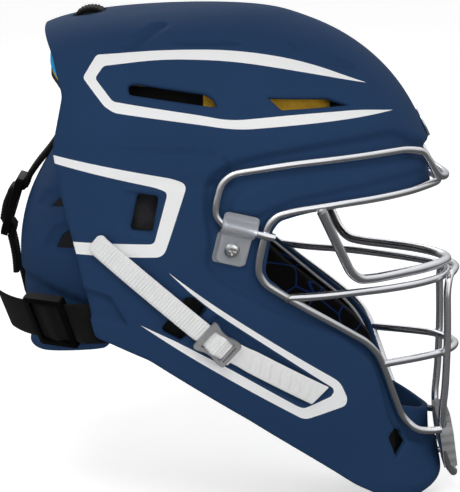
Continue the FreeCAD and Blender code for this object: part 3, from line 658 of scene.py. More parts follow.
def woven(name, low, high, pitch=0.0011, relief=0.6):
    """Woven webbing: two crossed sets of yarns from their object coordinates."""
    material = new_material(name, high, 0.78, spec=0.12)
    shader_of(material).inputs["Sheen Weight"].default_value = 0.04
    checks = textured(material, "ShaderNodeTexVoronoi", Scale=1.0 / pitch, distance="CHEBYCHEV",
                      Randomness=0.25)
    tint(material, checks["Distance"], high, low, 0.25, 0.75)
    bump(material, checks["Distance"], -relief, 0.0005)
    return material


def ribbed(material, pitch):
    """Upright ribs across the width, at a pitch."""
    waves = textured(material, "ShaderNodeTexWave", Scale=math.pi / (10 * pitch), bands_direction="Y")
    bump(material, waves["Fac"], 0.8, 0.0015)


def translucent(name, low, high, rough, through):
    """Clear or smoky plastic, with faint flow marks."""
    material = moulded(name, low, high, rough)
    shader_of(material).inputs["Transmission Weight"].default_value = through
    shader_of(material).inputs["IOR"].default_value = 1.3
    return material


def crossed_by_lines(name, ground, line):
    """Dark brushed cloth printed with a network of thin straight lines."""
    material = new_material(name, ground, 0.85, spec=0.15)
    cells = textured(material, "ShaderNodeTexVoronoi", Scale=46.0, feature="DISTANCE_TO_EDGE")
    tint(material, cells["Distance"], line, ground, 0.012, 0.026)
    bump(material, noise_of(material, 1300.0, 3.0), 0.4, 0.0004)
    return material


NAVY_LOW, NAVY_HIGH = (0.0190, 0.0470, 0.112), (0.0218, 0.0530, 0.126)
navy = painted_plastic("navy_paint", NAVY_LOW, NAVY_HIGH, 0.55)
white = painted_plastic("white_paint", (0.90, 0.905, 0.91), (0.95, 0.955, 0.96), 0.5)
silver = satin_metal("silver_coat", (0.68, 0.69, 0.72), (0.74, 0.75, 0.78), 0.24)
zinc = satin_metal("bright_zinc", (0.80, 0.80, 0.80), (0.90, 0.90, 0.90), 0.26)
foam_blue = foam("foam_blue", (0.01, 0.30, 0.62), (0.02, 0.38, 0.75))
foam_amber = foam("foam_amber", (0.62, 0.34, 0.03), (0.78, 0.45, 0.04))
foam_dark = foam("foam_charcoal", (0.012, 0.012, 0.014), (0.03, 0.03, 0.034))
liner = woven("liner_cloth", (0.004, 0.004, 0.005), (0.014, 0.014, 0.016))
lined_cloth = crossed_by_lines("lined_cloth", (0.006, 0.006, 0.007), (0.010, 0.045, 0.20))
pale_edge = woven("pale_edge", (0.60, 0.61, 0.63), (0.80, 0.81, 0.83), 0.0005)
weld_metal = satin_metal("weld_metal", (0.30, 0.30, 0.30), (0.46, 0.46, 0.46), 0.42)
black_web = woven("black_webbing", (0.0015, 0.0015, 0.0017), (0.007, 0.007, 0.0075))
white_web = woven("white_webbing", (0.74, 0.74, 0.75), (0.90, 0.90, 0.90), 0.0004, 0.15)
black_plastic = moulded("black_acetal", (0.0015, 0.0015, 0.0018), (0.0035, 0.0035, 0.004), 0.42, 0.08)
grey_plastic = moulded("grey_moulding", (0.24, 0.24, 0.25), (0.31, 0.31, 0.32), 0.36)
clear_plastic = translucent("clear_polycarbonate", (0.80, 0.83, 0.88), (0.90, 0.92, 0.95), 0.14, 0.72)
smoke_plastic = translucent("smoky_plastic", (0.34, 0.35, 0.36), (0.44, 0.45, 0.46), 0.35, 0.3)
ribbed(smoke_plastic, 0.004)


# ---------------------------------------------------------------- shell
SHELL_OUTLINE = [
    (-117, 140), (-117, 104), (-108, 88), (-101, 66), (-103, 55), (-107, 34), (-101, 4), (-92, -32),
    (-84, -73), (-82, -81), (-74, -84), (-49, -95), (12, -136), (81, -187), (91, -193), (108, -206),
    (200, -206), (200, -147), (131, -147), (108, -139), (102, -118), (97, -103), (88, -92), (68, -78),
    (36, -56), (24, -46), (22, -40), (26, -16), (31, -9), (42, -6), (70, -1), (104, 2.2), (124, 3),
    (200, 3), (200, 140),
]
RECESS_OUTLINE = [
    (200, 27), (125, 27), (114, 34), (102, 40.5), (60, 37), (22, 32), (5, 28.5), (-9, 22), (-13.5, 14),
    (-15, -2), (-11, -18),
    (-14, -35), (-4, -46), (34, -68), (68, -83), (90, -102), (97, -122), (103, -147), (112, -161),
    (126, -166), (200, -168),
]
UPPER_SLOT = [(-62, 74), (-57, 75.5), (-15, 69.5), (-9, 66), (-7, 60.5), (-61, 68)]
FRONT_SLOT = [(22, 66.5), (60, 64.5), (74, 58.5), (31, 58)]
EAR_HOLE = [(-61, -13), (-56, 10.5), (-42, 9), (-46, -14.5)]
STRAP_VENT = [(-27, -54), (-22, -54), (-13, -62), (-26, -79), (-30, -83), (-41, -77), (-42, -74)]
CHIN_VENT = [(101, -158), (104.5, -153), (114, -157), (114.5, -163), (107, -174)]

ARM, TIP = 40, 0
UPPER_STRIPE = [
    (-88.5, 77), (-80.5, 90), (-42, 93.5, ARM), (2, 93.5, ARM), (44, 86, ARM), (84, 70, TIP),
    (44, 79.5, ARM), (0, 87.5, ARM), (-42, 88.5, ARM), (-76, 84), (-81, 77), (-70, 64), (-18, 56.5, 12),
    (0, 53, 12), (42, 55.5, ARM), (80, 55.5, ARM), (101, 52.5, TIP), (70, 50.5, ARM), (4, 47.5, 12),
    (-18, 51, 12), (-69, 57.5), (-75, 61),
]
EAR_STRIPE = [
    (-130, 35), (-34, 19, 8), (-25.5, 15.5, 8), (-36.5, -19, 12), (-40, -29, 14), (-56, -29.3, 14),
    (-130, -27.5), (-130, -21), (-52, -21, 10), (-45.5, -21, 10), (-37, 11, 5), (-44, 13.4, 5),
    (-130, 31.2),
]
JAW_STRIPE = [
    (-37, -38.6, TIP), (-14.8, -55.8, ARM), (13, -75.5, ARM), (68.4, -114.2, 5), (73.4, -126.1, 5),
    (72.4, -131, 3), (46.5, -138, 4), (34.7, -130.4, 10), (-30.4, -88.6, ARM), (-54.3, -72.1, TIP),
    (-30.4, -83.6, ARM), (-0.6, -100.4, ARM), (20.7, -114.2, ARM), (42.4, -128.6, 3), (46.3, -130.1, 3),
    (62.8, -123.6, 1), (64.7, -120.7, 1), (64, -117.9, 1), (29.4, -91.6, ARM), (-4.3, -67.4, ARM),
    (-19.1, -56.1, ARM),
]

# Shallow shapes pressed into the shell: facets of the crown, the strap's pocket, the scoop below
# the ear, and the raised panel between the cage's outer and inner wires.
CROWN_FACET = [(-69, 93), (-46, 107.5), (-36, 107.5), (-56, 93)]
CROWN_TRENCH = [(-40, 97), (-33, 99.5), (-4, 99.5), (12, 95.5), (-2, 95.6), (-30, 95.6)]
FRONT_FACET = [(33, 97), (53, 92), (78, 80), (76, 77.5), (50, 84), (38, 92)]
STRAP_POCKET = [(-10, -64), (60.2, -116.5, 4), (62, -120.7, 2), (46, -127.5, 4), (7, -104), (-18, -88)]
EAR_SCOOP = [(-75, -11), (-61, -13), (-46, -15.5), (-42, 9), (-56, 11.5), (-74, 15)]
REAR_SCOOP = [(-92, -49), (-72.6, -53.9), (-60.7, -73.3), (-85.2, -69.3), (-96, -66)]
PANEL = [
    (130, 23), (96, 21.5), (60, 19.5), (22, 16.5), (7, 12.5), (1.5, 3), (0, -4), (16, -6.5), (24, -2),
    (40, 3.5), (70, 8), (104, 12), (130, 14),
]


def rearward_fade(start, length):
    """A fade from full at the start to nothing further to the rear."""
    return lambda x, z: 1 - smooth((start - x) / length)


def crease_fade(x, z):
    return 0.35 + 0.65 * smooth((x + 90) / 70)


def build_shell(form):
    notch = [(-98.8, 130), (-98.8, 107.4), (-78, 110.8), (-78, 130)]
    openings = [rounded(outline) for outline in (UPPER_SLOT, FRONT_SLOT, STRAP_VENT, CHIN_VENT)]
    openings.append(rounded(EAR_HOLE, 3.4))
    openings.append(notch)
    recess = Step(rounded(RECESS_OUTLINE, 9), RECESS_DEPTH, 4.5, -3.0)
    below_dome = [(-160, 38), (-41, 37.5), (-18, 37, 10), (2, 31.5, 10), (2, 12), (-40, 12), (-160, 12)]
    steps = [
        recess,
        Step(rounded(PANEL, 5), -2.4, 3.5, -1.0),
        Crease(rounded(below_dome, 6), 1.9, 11.0, fade=crease_fade),
        Step(rounded(CROWN_FACET), 2.3, 1.6),
        Step(rounded(CROWN_TRENCH), 2.4, 1.5),
        Step(rounded(FRONT_FACET, 4), 1.7, 1.6),
        Step(rounded(STRAP_POCKET, 4), 1.6, 1.6),
        Step(rounded(REAR_SCOOP), 3.0, 1.5, fade=lambda x, z: smooth((x + 98) / 12)),
        Step(rounded(EAR_SCOOP), 2.6, 2.0, fade=rearward_fade(-52, 20)),
    ]
    steps += [Lip(opening, 0.8, 1.5) for opening in openings[:5]]
    paint = [rounded(area) for area in (UPPER_STRIPE, EAR_STRIPE, JAW_STRIPE)]
    half = skin_half(form, rounded(SHELL_OUTLINE, 3.0), openings, steps, paint, 2.4)
    shell = build_skin("shell_skin", form, half, SHELL_WALL, lambda sunk: np.maximum(sunk - 0.4, 0))
    shell.data.materials.append(navy)
    shell.data.materials.append(white)
    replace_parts(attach(shell, "root"), "main_shell")


PLATE_OUTLINE = [
    (-140, 48), (-88, 48), (-80, 22), (-76, -40), (-73, -82), (-76, -90.5), (-104, -95.5), (-120, -99),
    (-140, -100),
]
PLATE_VENTS = [
    [(-114, -5.6), (-108.5, 0.8), (-88, 7), (-88, 0.5), (-104, -4.2)],
    [(-110, -30.6), (-106, -21.5), (-100.5, -17), (-86, -12), (-86, -27), (-100, -29.8)],
]
PLATE_SCOOPS = [
    [(-121, -7, 3), (-114, 4.5, 3), (-104, 8, 3), (-80, 15, 3), (-80, -3, 3), (-104, -8.5, 3)],
    [(-117, -33, 3), (-109, -16, 3), (-98, -11, 3), (-80, -6, 3), (-80, -33, 3), (-100, -34, 3)],
]


def build_plate(form):
    openings = [rounded(outline) for outline in PLATE_VENTS]
    lower_band = [(-150, -48), (-118, -52, 12), (-70, -66, 12), (-70, -120), (-150, -120)]
    steps = [Step(rounded(scoop), 2.4, 2.8) for scoop in PLATE_SCOOPS]
    steps.append(Crease(rounded(lower_band), 2.2, 16.0))
    steps += [Lip(opening, 0.8, 2.4) for opening in openings]
    half = skin_half(form, rounded(PLATE_OUTLINE, 4.0), openings, steps, [], 2.8)
    plate = build_skin("back_plate_skin", form, half, PLATE_WALL, lambda sunk: np.maximum(sunk - 0.9, 0))
    plate.data.materials.append(navy)
    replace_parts(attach(plate, "back_plate"), "back_plate")


shell_form, plate_form = Form(SHELL_STATIONS), Form(PLATE_STATIONS)
build_shell(shell_form)
build_plate(plate_form)


# ---------------------------------------------------------------- bands and frames
class Local:
    """A local frame: X along, Z out, with its origin at a point."""

    def __init__(self, point, along, out):
        self.point = np.array(point, float)
        self.out = unit(np.array(out, float))
        along = np.array(along, float)
        self.along = unit(along - self.out * (along @ self.out))
        self.across = np.cross(self.out, self.along)

    def world(self, local):
        local = np.asarray(local, float)
        return (self.point + local[..., :1] * self.along + local[..., 1:2] * self.across
                + local[..., 2:3] * self.out)


SELVEDGE, SELVEDGE_SHARE = 0.985, 0.55  # where a band's edge starts to round, and how thick it is


def band(name, centres, outs, width, thickness, rib=None, columns=9):
    """Flat webbing along its centre line, with woven ribs across it and rounded selvedges.

    Width may vary along the line. A rib is (pitch, height, sharpness).
    """
    centres, outs = np.array(centres, float), unit(np.array(outs, float))
    count = len(centres)
    run = unit(np.gradient(centres, axis=0))
    across = unit(np.cross(outs, run))
    outs = np.cross(run, across)
    width = np.broadcast_to(np.asarray(width, float), (count,))
    length = np.concatenate([[0], np.cumsum(np.linalg.norm(np.diff(centres, axis=0), axis=1))])
    swell = np.zeros(count)
    if rib:
        pitch, height, sharpness = rib
        swell = height * (np.abs(np.sin(math.pi * length / pitch)) ** sharpness - 0.5)
    half = thickness / 2
    edge = [(-1, 0)] + [(v, 1) for v in np.linspace(-SELVEDGE, SELVEDGE, columns)] + [(1, 0)]
    edge += [(v, -1) for v in np.linspace(SELVEDGE, -SELVEDGE, columns)]
    rows = []
    for k in range(count):
        for v, level in edge:
            lift = level * (half + swell[k]) * (SELVEDGE_SHARE if abs(v) >= SELVEDGE else 1.0)
            rows.append(centres[k] + across[k] * v * width[k] / 2 + outs[k] * lift)
    return lofted(name, rows, len(edge))


def lofted(name, rows, ring):
    """A closed form over rings of points, each joined to the next, with both ends capped."""
    faces = []
    for first in range(0, len(rows) - ring, ring):
        for m in range(ring):
            n = (m + 1) % ring
            faces.append((first + m, first + n, first + ring + n, first + ring + m))
    faces += [tuple(range(ring)), tuple(range(len(rows) - ring, len(rows)))]
    return outward(make_mesh(name, rows, faces))


def outward(thing):
    """The same object with all its faces turned outwards."""
    mesh = bmesh.new()
    mesh.from_mesh(thing.data)
    bmesh.ops.recalc_face_normals(mesh, faces=mesh.faces)
    mesh.to_mesh(thing.data)
    mesh.free()
    return thing


def plate_of(name, outline, windows, low, high, local, bevel):
    """A plate with windows, from its outline in a local frame, between two levels.

    The high level may be a function of the place.
    """
    outline, *windows = [[tuple(p[:2]) for p in loop] for loop in (outline, *windows)]
    points, edges = [], []
    for loop in (outline, *windows):
        first = len(points)
        points += [Vector(p) for p in loop]
        edges += [(first + k, first + (k + 1) % len(loop)) for k in range(len(loop))]
    flat, _, faces, _, _, _ = delaunay_2d_cdt(points, edges, [], 1, 1e-4)
    kept = []
    for face in faces:
        x, y = np.mean([flat[i] for i in face], axis=0)
        if within(outline, x, y) and not any(within(window, x, y) for window in windows):
            kept.append(tuple(face))
    count = len(flat)
    bottom = [(p.x, p.y, low) for p in flat]
    top = [(p.x, p.y, high(p.x, p.y) if callable(high) else high) for p in flat]
    polygons = kept + [tuple(i + count for i in face[::-1]) for face in kept]
    for loop in boundary_loops(kept):
        for a, b in zip(loop, loop[1:] + loop[:1]):
            polygons.append((a, b, b + count, a + count))
    thing = outward(make_mesh(name, local.world(bottom + top), polygons))
    thing.data.shade_smooth()
    softened = thing.modifiers.new("soft_edges", "BEVEL")
    softened.width = bevel * MM
    softened.segments = 3
    softened.limit_method = "ANGLE"
    softened.angle_limit = math.radians(40)
    softened.harden_normals = True
    return thing


def finish(thing, material, body, replaced):
    """Gives a piece its material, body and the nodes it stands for."""
    thing.data.materials.append(material)
    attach(thing, body)
    if replaced:
        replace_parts(thing, *replaced)
    return thing


# ---------------------------------------------------------------- jaw straps and their slide buckles
STRAP_START, STRAP_BUCKLE, STRAP_END = (-83.5, -17.0), (-7.6, -83.5), (55.5, -121.6)
STRAP_WIDTH, STRAP_LIFT, WEBBING = 13.4, 3.4, 1.6
RIB, TAB_RIB = (2.0, 0.8, 0.6), (1.35, 0.3, 0.7)
STRAP_FROM, STRAP_PAST_BUCKLE, TAB_FROM = 3.0, 13.0, 12.0
TAB_LIFT, TAB_FLARE = 1.3, 1.0


def bow(values, reach):
    """One at zero, falling smoothly to nothing at the reach."""
    return 1 - smooth(np.abs(values) / reach)


def build_jaw_strap(name, side):
    start, buckle, end = [np.array(p) for p in (STRAP_START, STRAP_BUCKLE, STRAP_END)]
    heading = unit(buckle - start)
    length = np.linalg.norm(buckle - start)
    way = np.arange(STRAP_FROM, length + STRAP_PAST_BUCKLE, RIB[0] / 6)
    line = start + way[:, None] * heading
    along = way - length
    # down to the shell at its start, under the buckle's ends and over its bar
    lift = STRAP_LIFT - 2.7 * bow(way, 9.0) - 0.5 * bow(np.abs(along) - 9.5, 6.0) + 1.5 * bow(along, 5.2)
    lift += -0.9 * smooth((along - 11) / 3)
    centres, outs = shell_form.on_side(line[:, 0], line[:, 1], side, lift)
    width = STRAP_WIDTH * (1 - 0.5 * (1 - smooth((way - 2.3) / 4.2)) ** 2)
    width -= 0.9 * bow(np.abs(along) - 9, 5)
    strap = band("jaw_strap_" + name, centres, outs, width, WEBBING, RIB)
    finish(strap, white_web, "root", ["jaw_strap_" + name])

    run = np.linalg.norm(end - buckle)
    way = np.arange(TAB_FROM, run + 0.01, 0.5)
    line = buckle + way[:, None] * unit(end - buckle)
    lift = TAB_LIFT + 0.4 * (1 - smooth((way - TAB_FROM) / 8))
    centres, outs = shell_form.on_side(line[:, 0], line[:, 1], side, lift)
    width = STRAP_WIDTH + TAB_FLARE * smooth((way - 16) / 10)
    tab = band("jaw_strap_tab_" + name, centres, outs, width, WEBBING, TAB_RIB, columns=15)
    emboss(tab, centres, outs, way, side)
    finish(tab, white_web, "root", ["jaw_strap_tab_" + name])
    build_tri_glide(name, side, heading)


GRIP_PITCH, GRIP_HEIGHT, GRIP_LEAN, GRIP_REACH = 7.0, 0.7, 0.45, 4.6
TAB_SLANT, TAB_SLANT_LENGTH = -0.28, 14


def emboss(tab, centres, outs, way, side):
    """Raised slanting grip bars along the middle of a tab, and its slanting end."""
    co = np.array([v.co for v in tab.data.vertices]) / MM
    ring = len(co) // len(centres)
    row = np.arange(len(co)) // ring
    run = unit(np.gradient(centres, axis=0))
    across = unit(np.cross(outs, run))
    offset = np.einsum("ij,ij->i", co - centres[row], across[row])
    above = np.einsum("ij,ij->i", co - centres[row], outs[row]) > 0
    spot = way[row] - way[0] + GRIP_LEAN * offset
    bars = smooth((np.abs((spot % GRIP_PITCH) - GRIP_PITCH / 2) - 0.5) / 0.8)
    inside = smooth((GRIP_REACH - np.abs(offset)) / 0.9) * smooth((way[row] - way[0] - 6) / 3)
    inside *= smooth((way[-1] - 4 - way[row]) / 3)
    co += outs[row] * (GRIP_HEIGHT * (1 - bars) * inside * above)[:, None]
    near_end = smooth((way[row] - way[-1] + TAB_SLANT_LENGTH) / TAB_SLANT_LENGTH)
    slant = TAB_SLANT * side * offset * near_end
    co += run[row] * slant[:, None]
    tab.data.vertices.foreach_set("co", (co * MM).ravel())
    tab.data.update()


GLIDE_EDGE = [
    (-11.6, 10.2, 2), (-8.8, 10.3, 3), (-4.0, 8.2, 4), (1.5, 7.9, 3), (4.5, 8.9, 3), (8.4, 9.4, 2),
    (11.6, 9.0, 2),
]
GLIDE_WINDOW = [
    (-8.3, 6.9), (-3, 6.6, 3), (3, 6.6, 3), (7.6, 7.0), (7.6, -7.0), (3, -6.6, 3), (-3, -6.6, 3),
    (-8.3, -6.9),
]
GLIDE_LOW, GLIDE_HIGH, GLIDE_BOW = -0.6, 2.4, 0.5
GLIDE_BAR, GLIDE_TOOTH = (1.2, 7.4), (0.55, 0.35)


def build_tri_glide(name, side, heading):
    """Slide buckle: a waisted frame, its bar below the strap, and a row of teeth on one end."""
    piece = "tri_glide_" + name
    centre, out = shell_form.on_side(STRAP_BUCKLE[0], STRAP_BUCKLE[1], side, STRAP_LIFT)
    local = Local(centre, (heading[0], 0, heading[1]), out)
    outline = rounded(GLIDE_EDGE + [(a, -b, r) for a, b, r in GLIDE_EDGE[::-1]])
    outline, window = [[(a, -side * b) for a, b in loop] for loop in (outline, rounded(GLIDE_WINDOW, 1.2))]

    def top(a, _):
        return GLIDE_HIGH - GLIDE_BOW * bow(abs(a), 7.0)

    glide = plate_of(piece, outline, [window], GLIDE_LOW, top, local, 0.5)
    finish(glide, grey_plastic, piece, [piece])
    bar = plate_of("tri_glide_bar_" + name, rounded(rectangle(*GLIDE_BAR), 0.5), [], -3.1, -1.8, local, 0.4)
    finish(bar, grey_plastic, piece, ())
    for k, b in enumerate(np.arange(-5.4, 5.5, 1.2)):
        tooth = rectangle(*GLIDE_TOOTH, (9.0, b))
        tooth = plate_of("tri_glide_tooth_%s_%d" % (name, k), tooth, [], 1.9, 2.45, local, 0.1)
        finish(tooth, black_plastic, piece, ())


for side_name, side_sign in SIDES.items():
    build_jaw_strap(side_name, side_sign)


# ---------------------------------------------------------------- harness straps and buckles
SIDE_BUCKLE, SIDE_RUN = np.array([-109.5, -77.5, -73.5]), unit(np.array([-0.86, 0.51, 0]))
SIDE_LEAN = math.radians(30)
TOP_BUCKLE, TOP_RUN = np.array([-139.0, 0, -13.5]), unit(np.array([-0.293, 0, -0.957]))
WEAVE_RIB = (1.3, 0.12, 0.8)


def smooth_path(points, step=0.6):
    """Points evenly along a smooth curve through the given ones."""
    points = np.array(points, float)
    knots = np.concatenate([[0], np.cumsum(np.linalg.norm(np.diff(points, axis=0), axis=1))])
    at = np.arange(0, knots[-1] + 1e-6, step)
    return np.stack([cubic_through(knots, points[:, k])(at) for k in range(points.shape[1])], axis=1)


LADDER_END, LADDER_BAR, LADDER_DIP = 3.4, 1.6, 0.9


def ladder(name, local, length, width, slot_width, low, high):
    """Black three-bar buckle: a chunky frame with a sunk middle bar."""
    a, b = length / 2, width / 2
    inner_a, inner_b = a - LADDER_END, slot_width / 2 + 0.6

    def top(x, _):
        return high - LADDER_DIP * smooth((abs(x) - inner_a) / LADDER_END)

    window = rounded(rectangle(inner_a, inner_b), 2.6)
    frame_piece = plate_of(name + "_frame", rounded(rectangle(a, b), 1.6), [window], low, top, local, 0.7)
    finish(frame_piece, black_plastic, name, [name])
    outline = rounded(rectangle(LADDER_BAR, inner_b + 0.8), 0.6)
    bar = plate_of(name + "_bar", outline, [], low, -0.9, local, 0.6)
    finish(bar, black_plastic, name, ())


SIDE_WIDTH, SIDE_FLARE, SIDE_THICK = 25, 4.6, 1.7
SIDE_LEAN_FROM = 38  # row of the strap's front part where it starts to lean
SIDE_TAIL = (-11.6, 38.4)


def build_side_strap(name, side):
    flip = np.array([1, -side, 1])
    spot, run = SIDE_BUCKLE * flip, SIDE_RUN * flip
    level_out = np.array([-abs(run[1]), side * abs(run[0]), 0])
    out = level_out * math.cos(SIDE_LEAN) + np.array([0, 0, -math.sin(SIDE_LEAN)])
    local = Local(spot, run, out)
    front = [(-62, side * 85.4, spot[2]), (-76, side * 86.0, spot[2])]
    path = smooth_path(front + [(-88.9, side * 87.4, spot[2]), tuple(spot - run * 12)])
    reach = np.arange(*SIDE_TAIL, 0.6)
    sag = 0.25 * np.clip(reach - 14, 0, None) ** 2 / 26
    rest = spot + reach[:, None] * run - out * sag[:, None]
    weave = -0.5 * bow(np.abs(reach) - 12.4, 5.0) + 1.6 * bow(reach, 7.0)
    centres = np.concatenate([path, rest + out * weave[:, None]])
    rows = np.arange(len(centres))
    share = smooth((rows - SIDE_LEAN_FROM) / (len(path) - SIDE_LEAN_FROM))[:, None]
    outs = unit(np.array([0, side, 0]) * (1 - share) + out * share)
    width = SIDE_WIDTH + SIDE_FLARE * share[:, 0]
    strap = band("side_strap_" + name, centres, outs, width, SIDE_THICK, WEAVE_RIB, columns=13)
    strap.data.materials.append(black_web)
    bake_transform(strap)
    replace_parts(strap, "side_strap_" + name, "side_strap_tail_" + name)
    ladder("side_buckle_" + name, local, 28, 38, 30, -2.8, 3.2)


TOP_WIDTH, TOP_THICK, TOP_RIB = 25, 3.5, (1.8, 0.6, 0.7)
TOP_UPPER = [(-84, 0, 62), (-96, 0, 48.6), (-107, 0, 34), (-115.1, 0, 22.4), (-123.2, 0, 12.4)]
TOP_TAIL = [(-139.2, 0, -39), (-137.8, 0, -48), (-137.2, 0, -57.5)]
TOP_SUNK = -4.4  # the strap's level before and after the buckle, from the buckle's middle


def build_top_strap():
    out = np.array([TOP_RUN[2], 0, -TOP_RUN[0]])
    local = Local(TOP_BUCKLE, TOP_RUN, out)
    path = smooth_path(TOP_UPPER + [tuple(TOP_BUCKLE - TOP_RUN * 19 + out * TOP_SUNK)])
    reach = np.arange(-18.2, 18.5, 0.6)
    loop = TOP_SUNK + 7.9 * smooth((14.6 - np.abs(reach)) / 5.5) + 0.8 * bow(reach, 9)
    through = TOP_BUCKLE + reach[:, None] * TOP_RUN + out * loop[:, None]
    tail = smooth_path([tuple(through[-1] + TOP_RUN)] + TOP_TAIL)
    centres = np.concatenate([path, through, tail])
    run = unit(np.gradient(centres, axis=0))
    outs = np.stack([run[:, 2], 0 * run[:, 0], -run[:, 0]], axis=1)
    strap = band("top_strap", centres, outs, TOP_WIDTH, TOP_THICK, TOP_RIB, columns=13)
    strap.data.materials.append(black_web)
    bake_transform(strap)
    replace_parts(strap, "top_strap", "top_strap_tail")
    ladder("rear_buckle", local, 38, 34, TOP_WIDTH, -2.4, 2.6)


CROWN_ARCH = [
    (-97, 0, 104.4), (-96.2, 0, 107.2), (-93.4, 0, 110), (-89.3, 0, 111.4), (-85, 0, 111.4),
    (-81.6, 0, 110), (-80.2, 0, 107),
]


def build_crown_loop():
    """The end of the top strap, folded into a hump in the crown's notch."""
    arch = smooth_path(CROWN_ARCH, 0.4)
    run = unit(np.gradient(arch, axis=0))
    outs = np.stack([-run[:, 2], 0 * run[:, 0], run[:, 0]], axis=1)
    loop = band("crown_strap_loop", arch, outs, TOP_WIDTH, 2.6, (2.0, 0.9, 0.7), columns=13)
    finish(loop, black_web, "root", ["crown_strap_loop"])
    below = arch * [0.92, 1, 1] - [7, 0, 2.6]
    fold = band("crown_strap_fold", below, outs, TOP_WIDTH, 3.6, columns=13)
    finish(fold, black_web, "root", ())


for side_name, side_sign in SIDES.items():
    build_side_strap(side_name, side_sign)
build_top_strap()
build_crown_loop()


# ---------------------------------------------------------------- cage clips
CLIP_X, CLIP_Z = 1.5, -25.5
CLIP_NARROW, CLIP_WIDE, CLIP_THICK, CLIP_CORNER = 19.0, 22.0, 2.0, 2.6
WIRE_WAY, WIRE_RISE = 14.3, 5.1  # where the clip folds over the wire, and how high
CLIP_BACKING = [(-9.6, -7.6), (-8.4, -9.8), (9.6, -9.8), (10.4, 6.5), (11.5, 9), (-9.6, 9), (-9.8, 6.5)]


def build_side_clip(name, side):
    """Clear clip folded over the wire and screwed to the shell, with its backing plate."""
    point, out = shell_form.on_side(CLIP_X, CLIP_Z, side, -RECESS_DEPTH)
    local = Local(point, (1, 0, -0.25), out)
    flip = -side
    way = np.concatenate([np.arange(-9, 8, 1.0), np.arange(8, 23.2, 0.5)])
    rise = 1.15 + WIRE_RISE * bow(way - WIRE_WAY, 6.0) + 2.2 * smooth((way - 16.5) / 3)
    width = CLIP_NARROW + (CLIP_WIDE - CLIP_NARROW) * smooth((way - 8) / 2.0)
    ends = np.minimum(way - way[0], way[-1] - way)
    corner = 1 - np.clip(ends / CLIP_CORNER, 0, 1)
    width = width - 2 * CLIP_CORNER * (1 - np.sqrt(np.clip(1 - corner ** 2, 0, 1)))
    centres = local.world(np.stack([0 * way + 1.0, flip * way, rise], axis=1))
    lean = np.gradient(rise, way)
    outs = local.out - np.outer(lean, local.across * flip)
    clip = band("side_clip_" + name, centres, outs, width, CLIP_THICK, columns=13)
    finish(clip, clear_plastic, "root", ["side_clip_" + name])
    outline = rounded([(a - 0.8, b * flip) for a, b in CLIP_BACKING], 1.5)
    plate = plate_of("side_clip_backing_" + name, outline, [], -0.4, 0.25, local, 0.15)
    finish(plate, clear_plastic, "root", ())


for side_name, side_sign in SIDES.items():
    build_side_clip(side_name, side_sign)


# ---------------------------------------------------------------- foam and padding
LINING_INSET, LINING_THICK = 4.5 + RECESS_DEPTH, 1.8
OUTER_INSET, INNER_INSET, FOAM_THICK = 4.6, 10.4, 5.3
JAW_LINING = [
    (-14, -110), (-14, -70), (8, -50), (22.5, -42), (25, -47.4), (36, -57.4), (68, -79.4), (87.6, -93.2),
    (96, -103.8), (101, -118.6), (106.6, -139), (98, -168), (60, -160), (14, -128),
]
OUTER_WINDOWS = [
    [(-66, 80), (-12, 76), (-3, 66), (-5, 55), (-66, 62)],
    [(18, 72), (64, 70), (94, 56), (92, 51), (26, 53)],
]
INNER_WINDOWS = [
    [(-66, 80), (-14.5, 76), (-14.5, 55), (-66, 62)],
    [(66, 70), (98, 54), (96, 49), (66, 51)],
]
OUTER_OUTLINE = [(-112.5, 140), (-112.5, 85), (-97, 65), (-80, 50), (125, 50), (125, 140)]
INNER_OUTLINE = [(-115.6, 140), (-115.6, 84.5), (-99, 64.5), (-80, 50), (125, 50), (125, 140)]


def foam_layer(name, inset, thickness, outline, openings, edge):
    """A moulded foam layer with softened edges under the shell."""
    turn, depth, _, faces, painted = skin_half(shell_form, outline, openings, [], [], 5.0)
    half = turn, depth, np.full(len(turn), inset), faces, painted
    return build_skin(name, shell_form, half, thickness, lambda sunk: sunk, edge)


def build_jaw_lining():
    """Lined cloth over the inside of the jaw, out to the face opening."""
    lining = foam_layer("jaw_lining", LINING_INSET, LINING_THICK, rounded(JAW_LINING), [], 0.4)
    finish(lining, lined_cloth, "root", ())


def build_crown_foam():
    for name, inset, outline, windows, material, slot in (
            ("outer", OUTER_INSET, OUTER_OUTLINE, OUTER_WINDOWS, foam_blue, "foam_blue"),
            ("inner", INNER_INSET, INNER_OUTLINE, INNER_WINDOWS, foam_amber, "foam_yellow")):
        node_name = "crown_foam_" + name
        layer = foam_layer(node_name + "_skin", inset, FOAM_THICK, rounded(outline, 4), windows, 0.8)
        finish(layer, material, "root", [node_name])


build_crown_foam()
build_jaw_lining()


CLOTH_PRESSURE, CLOTH_FRAMES = 4.0, 20


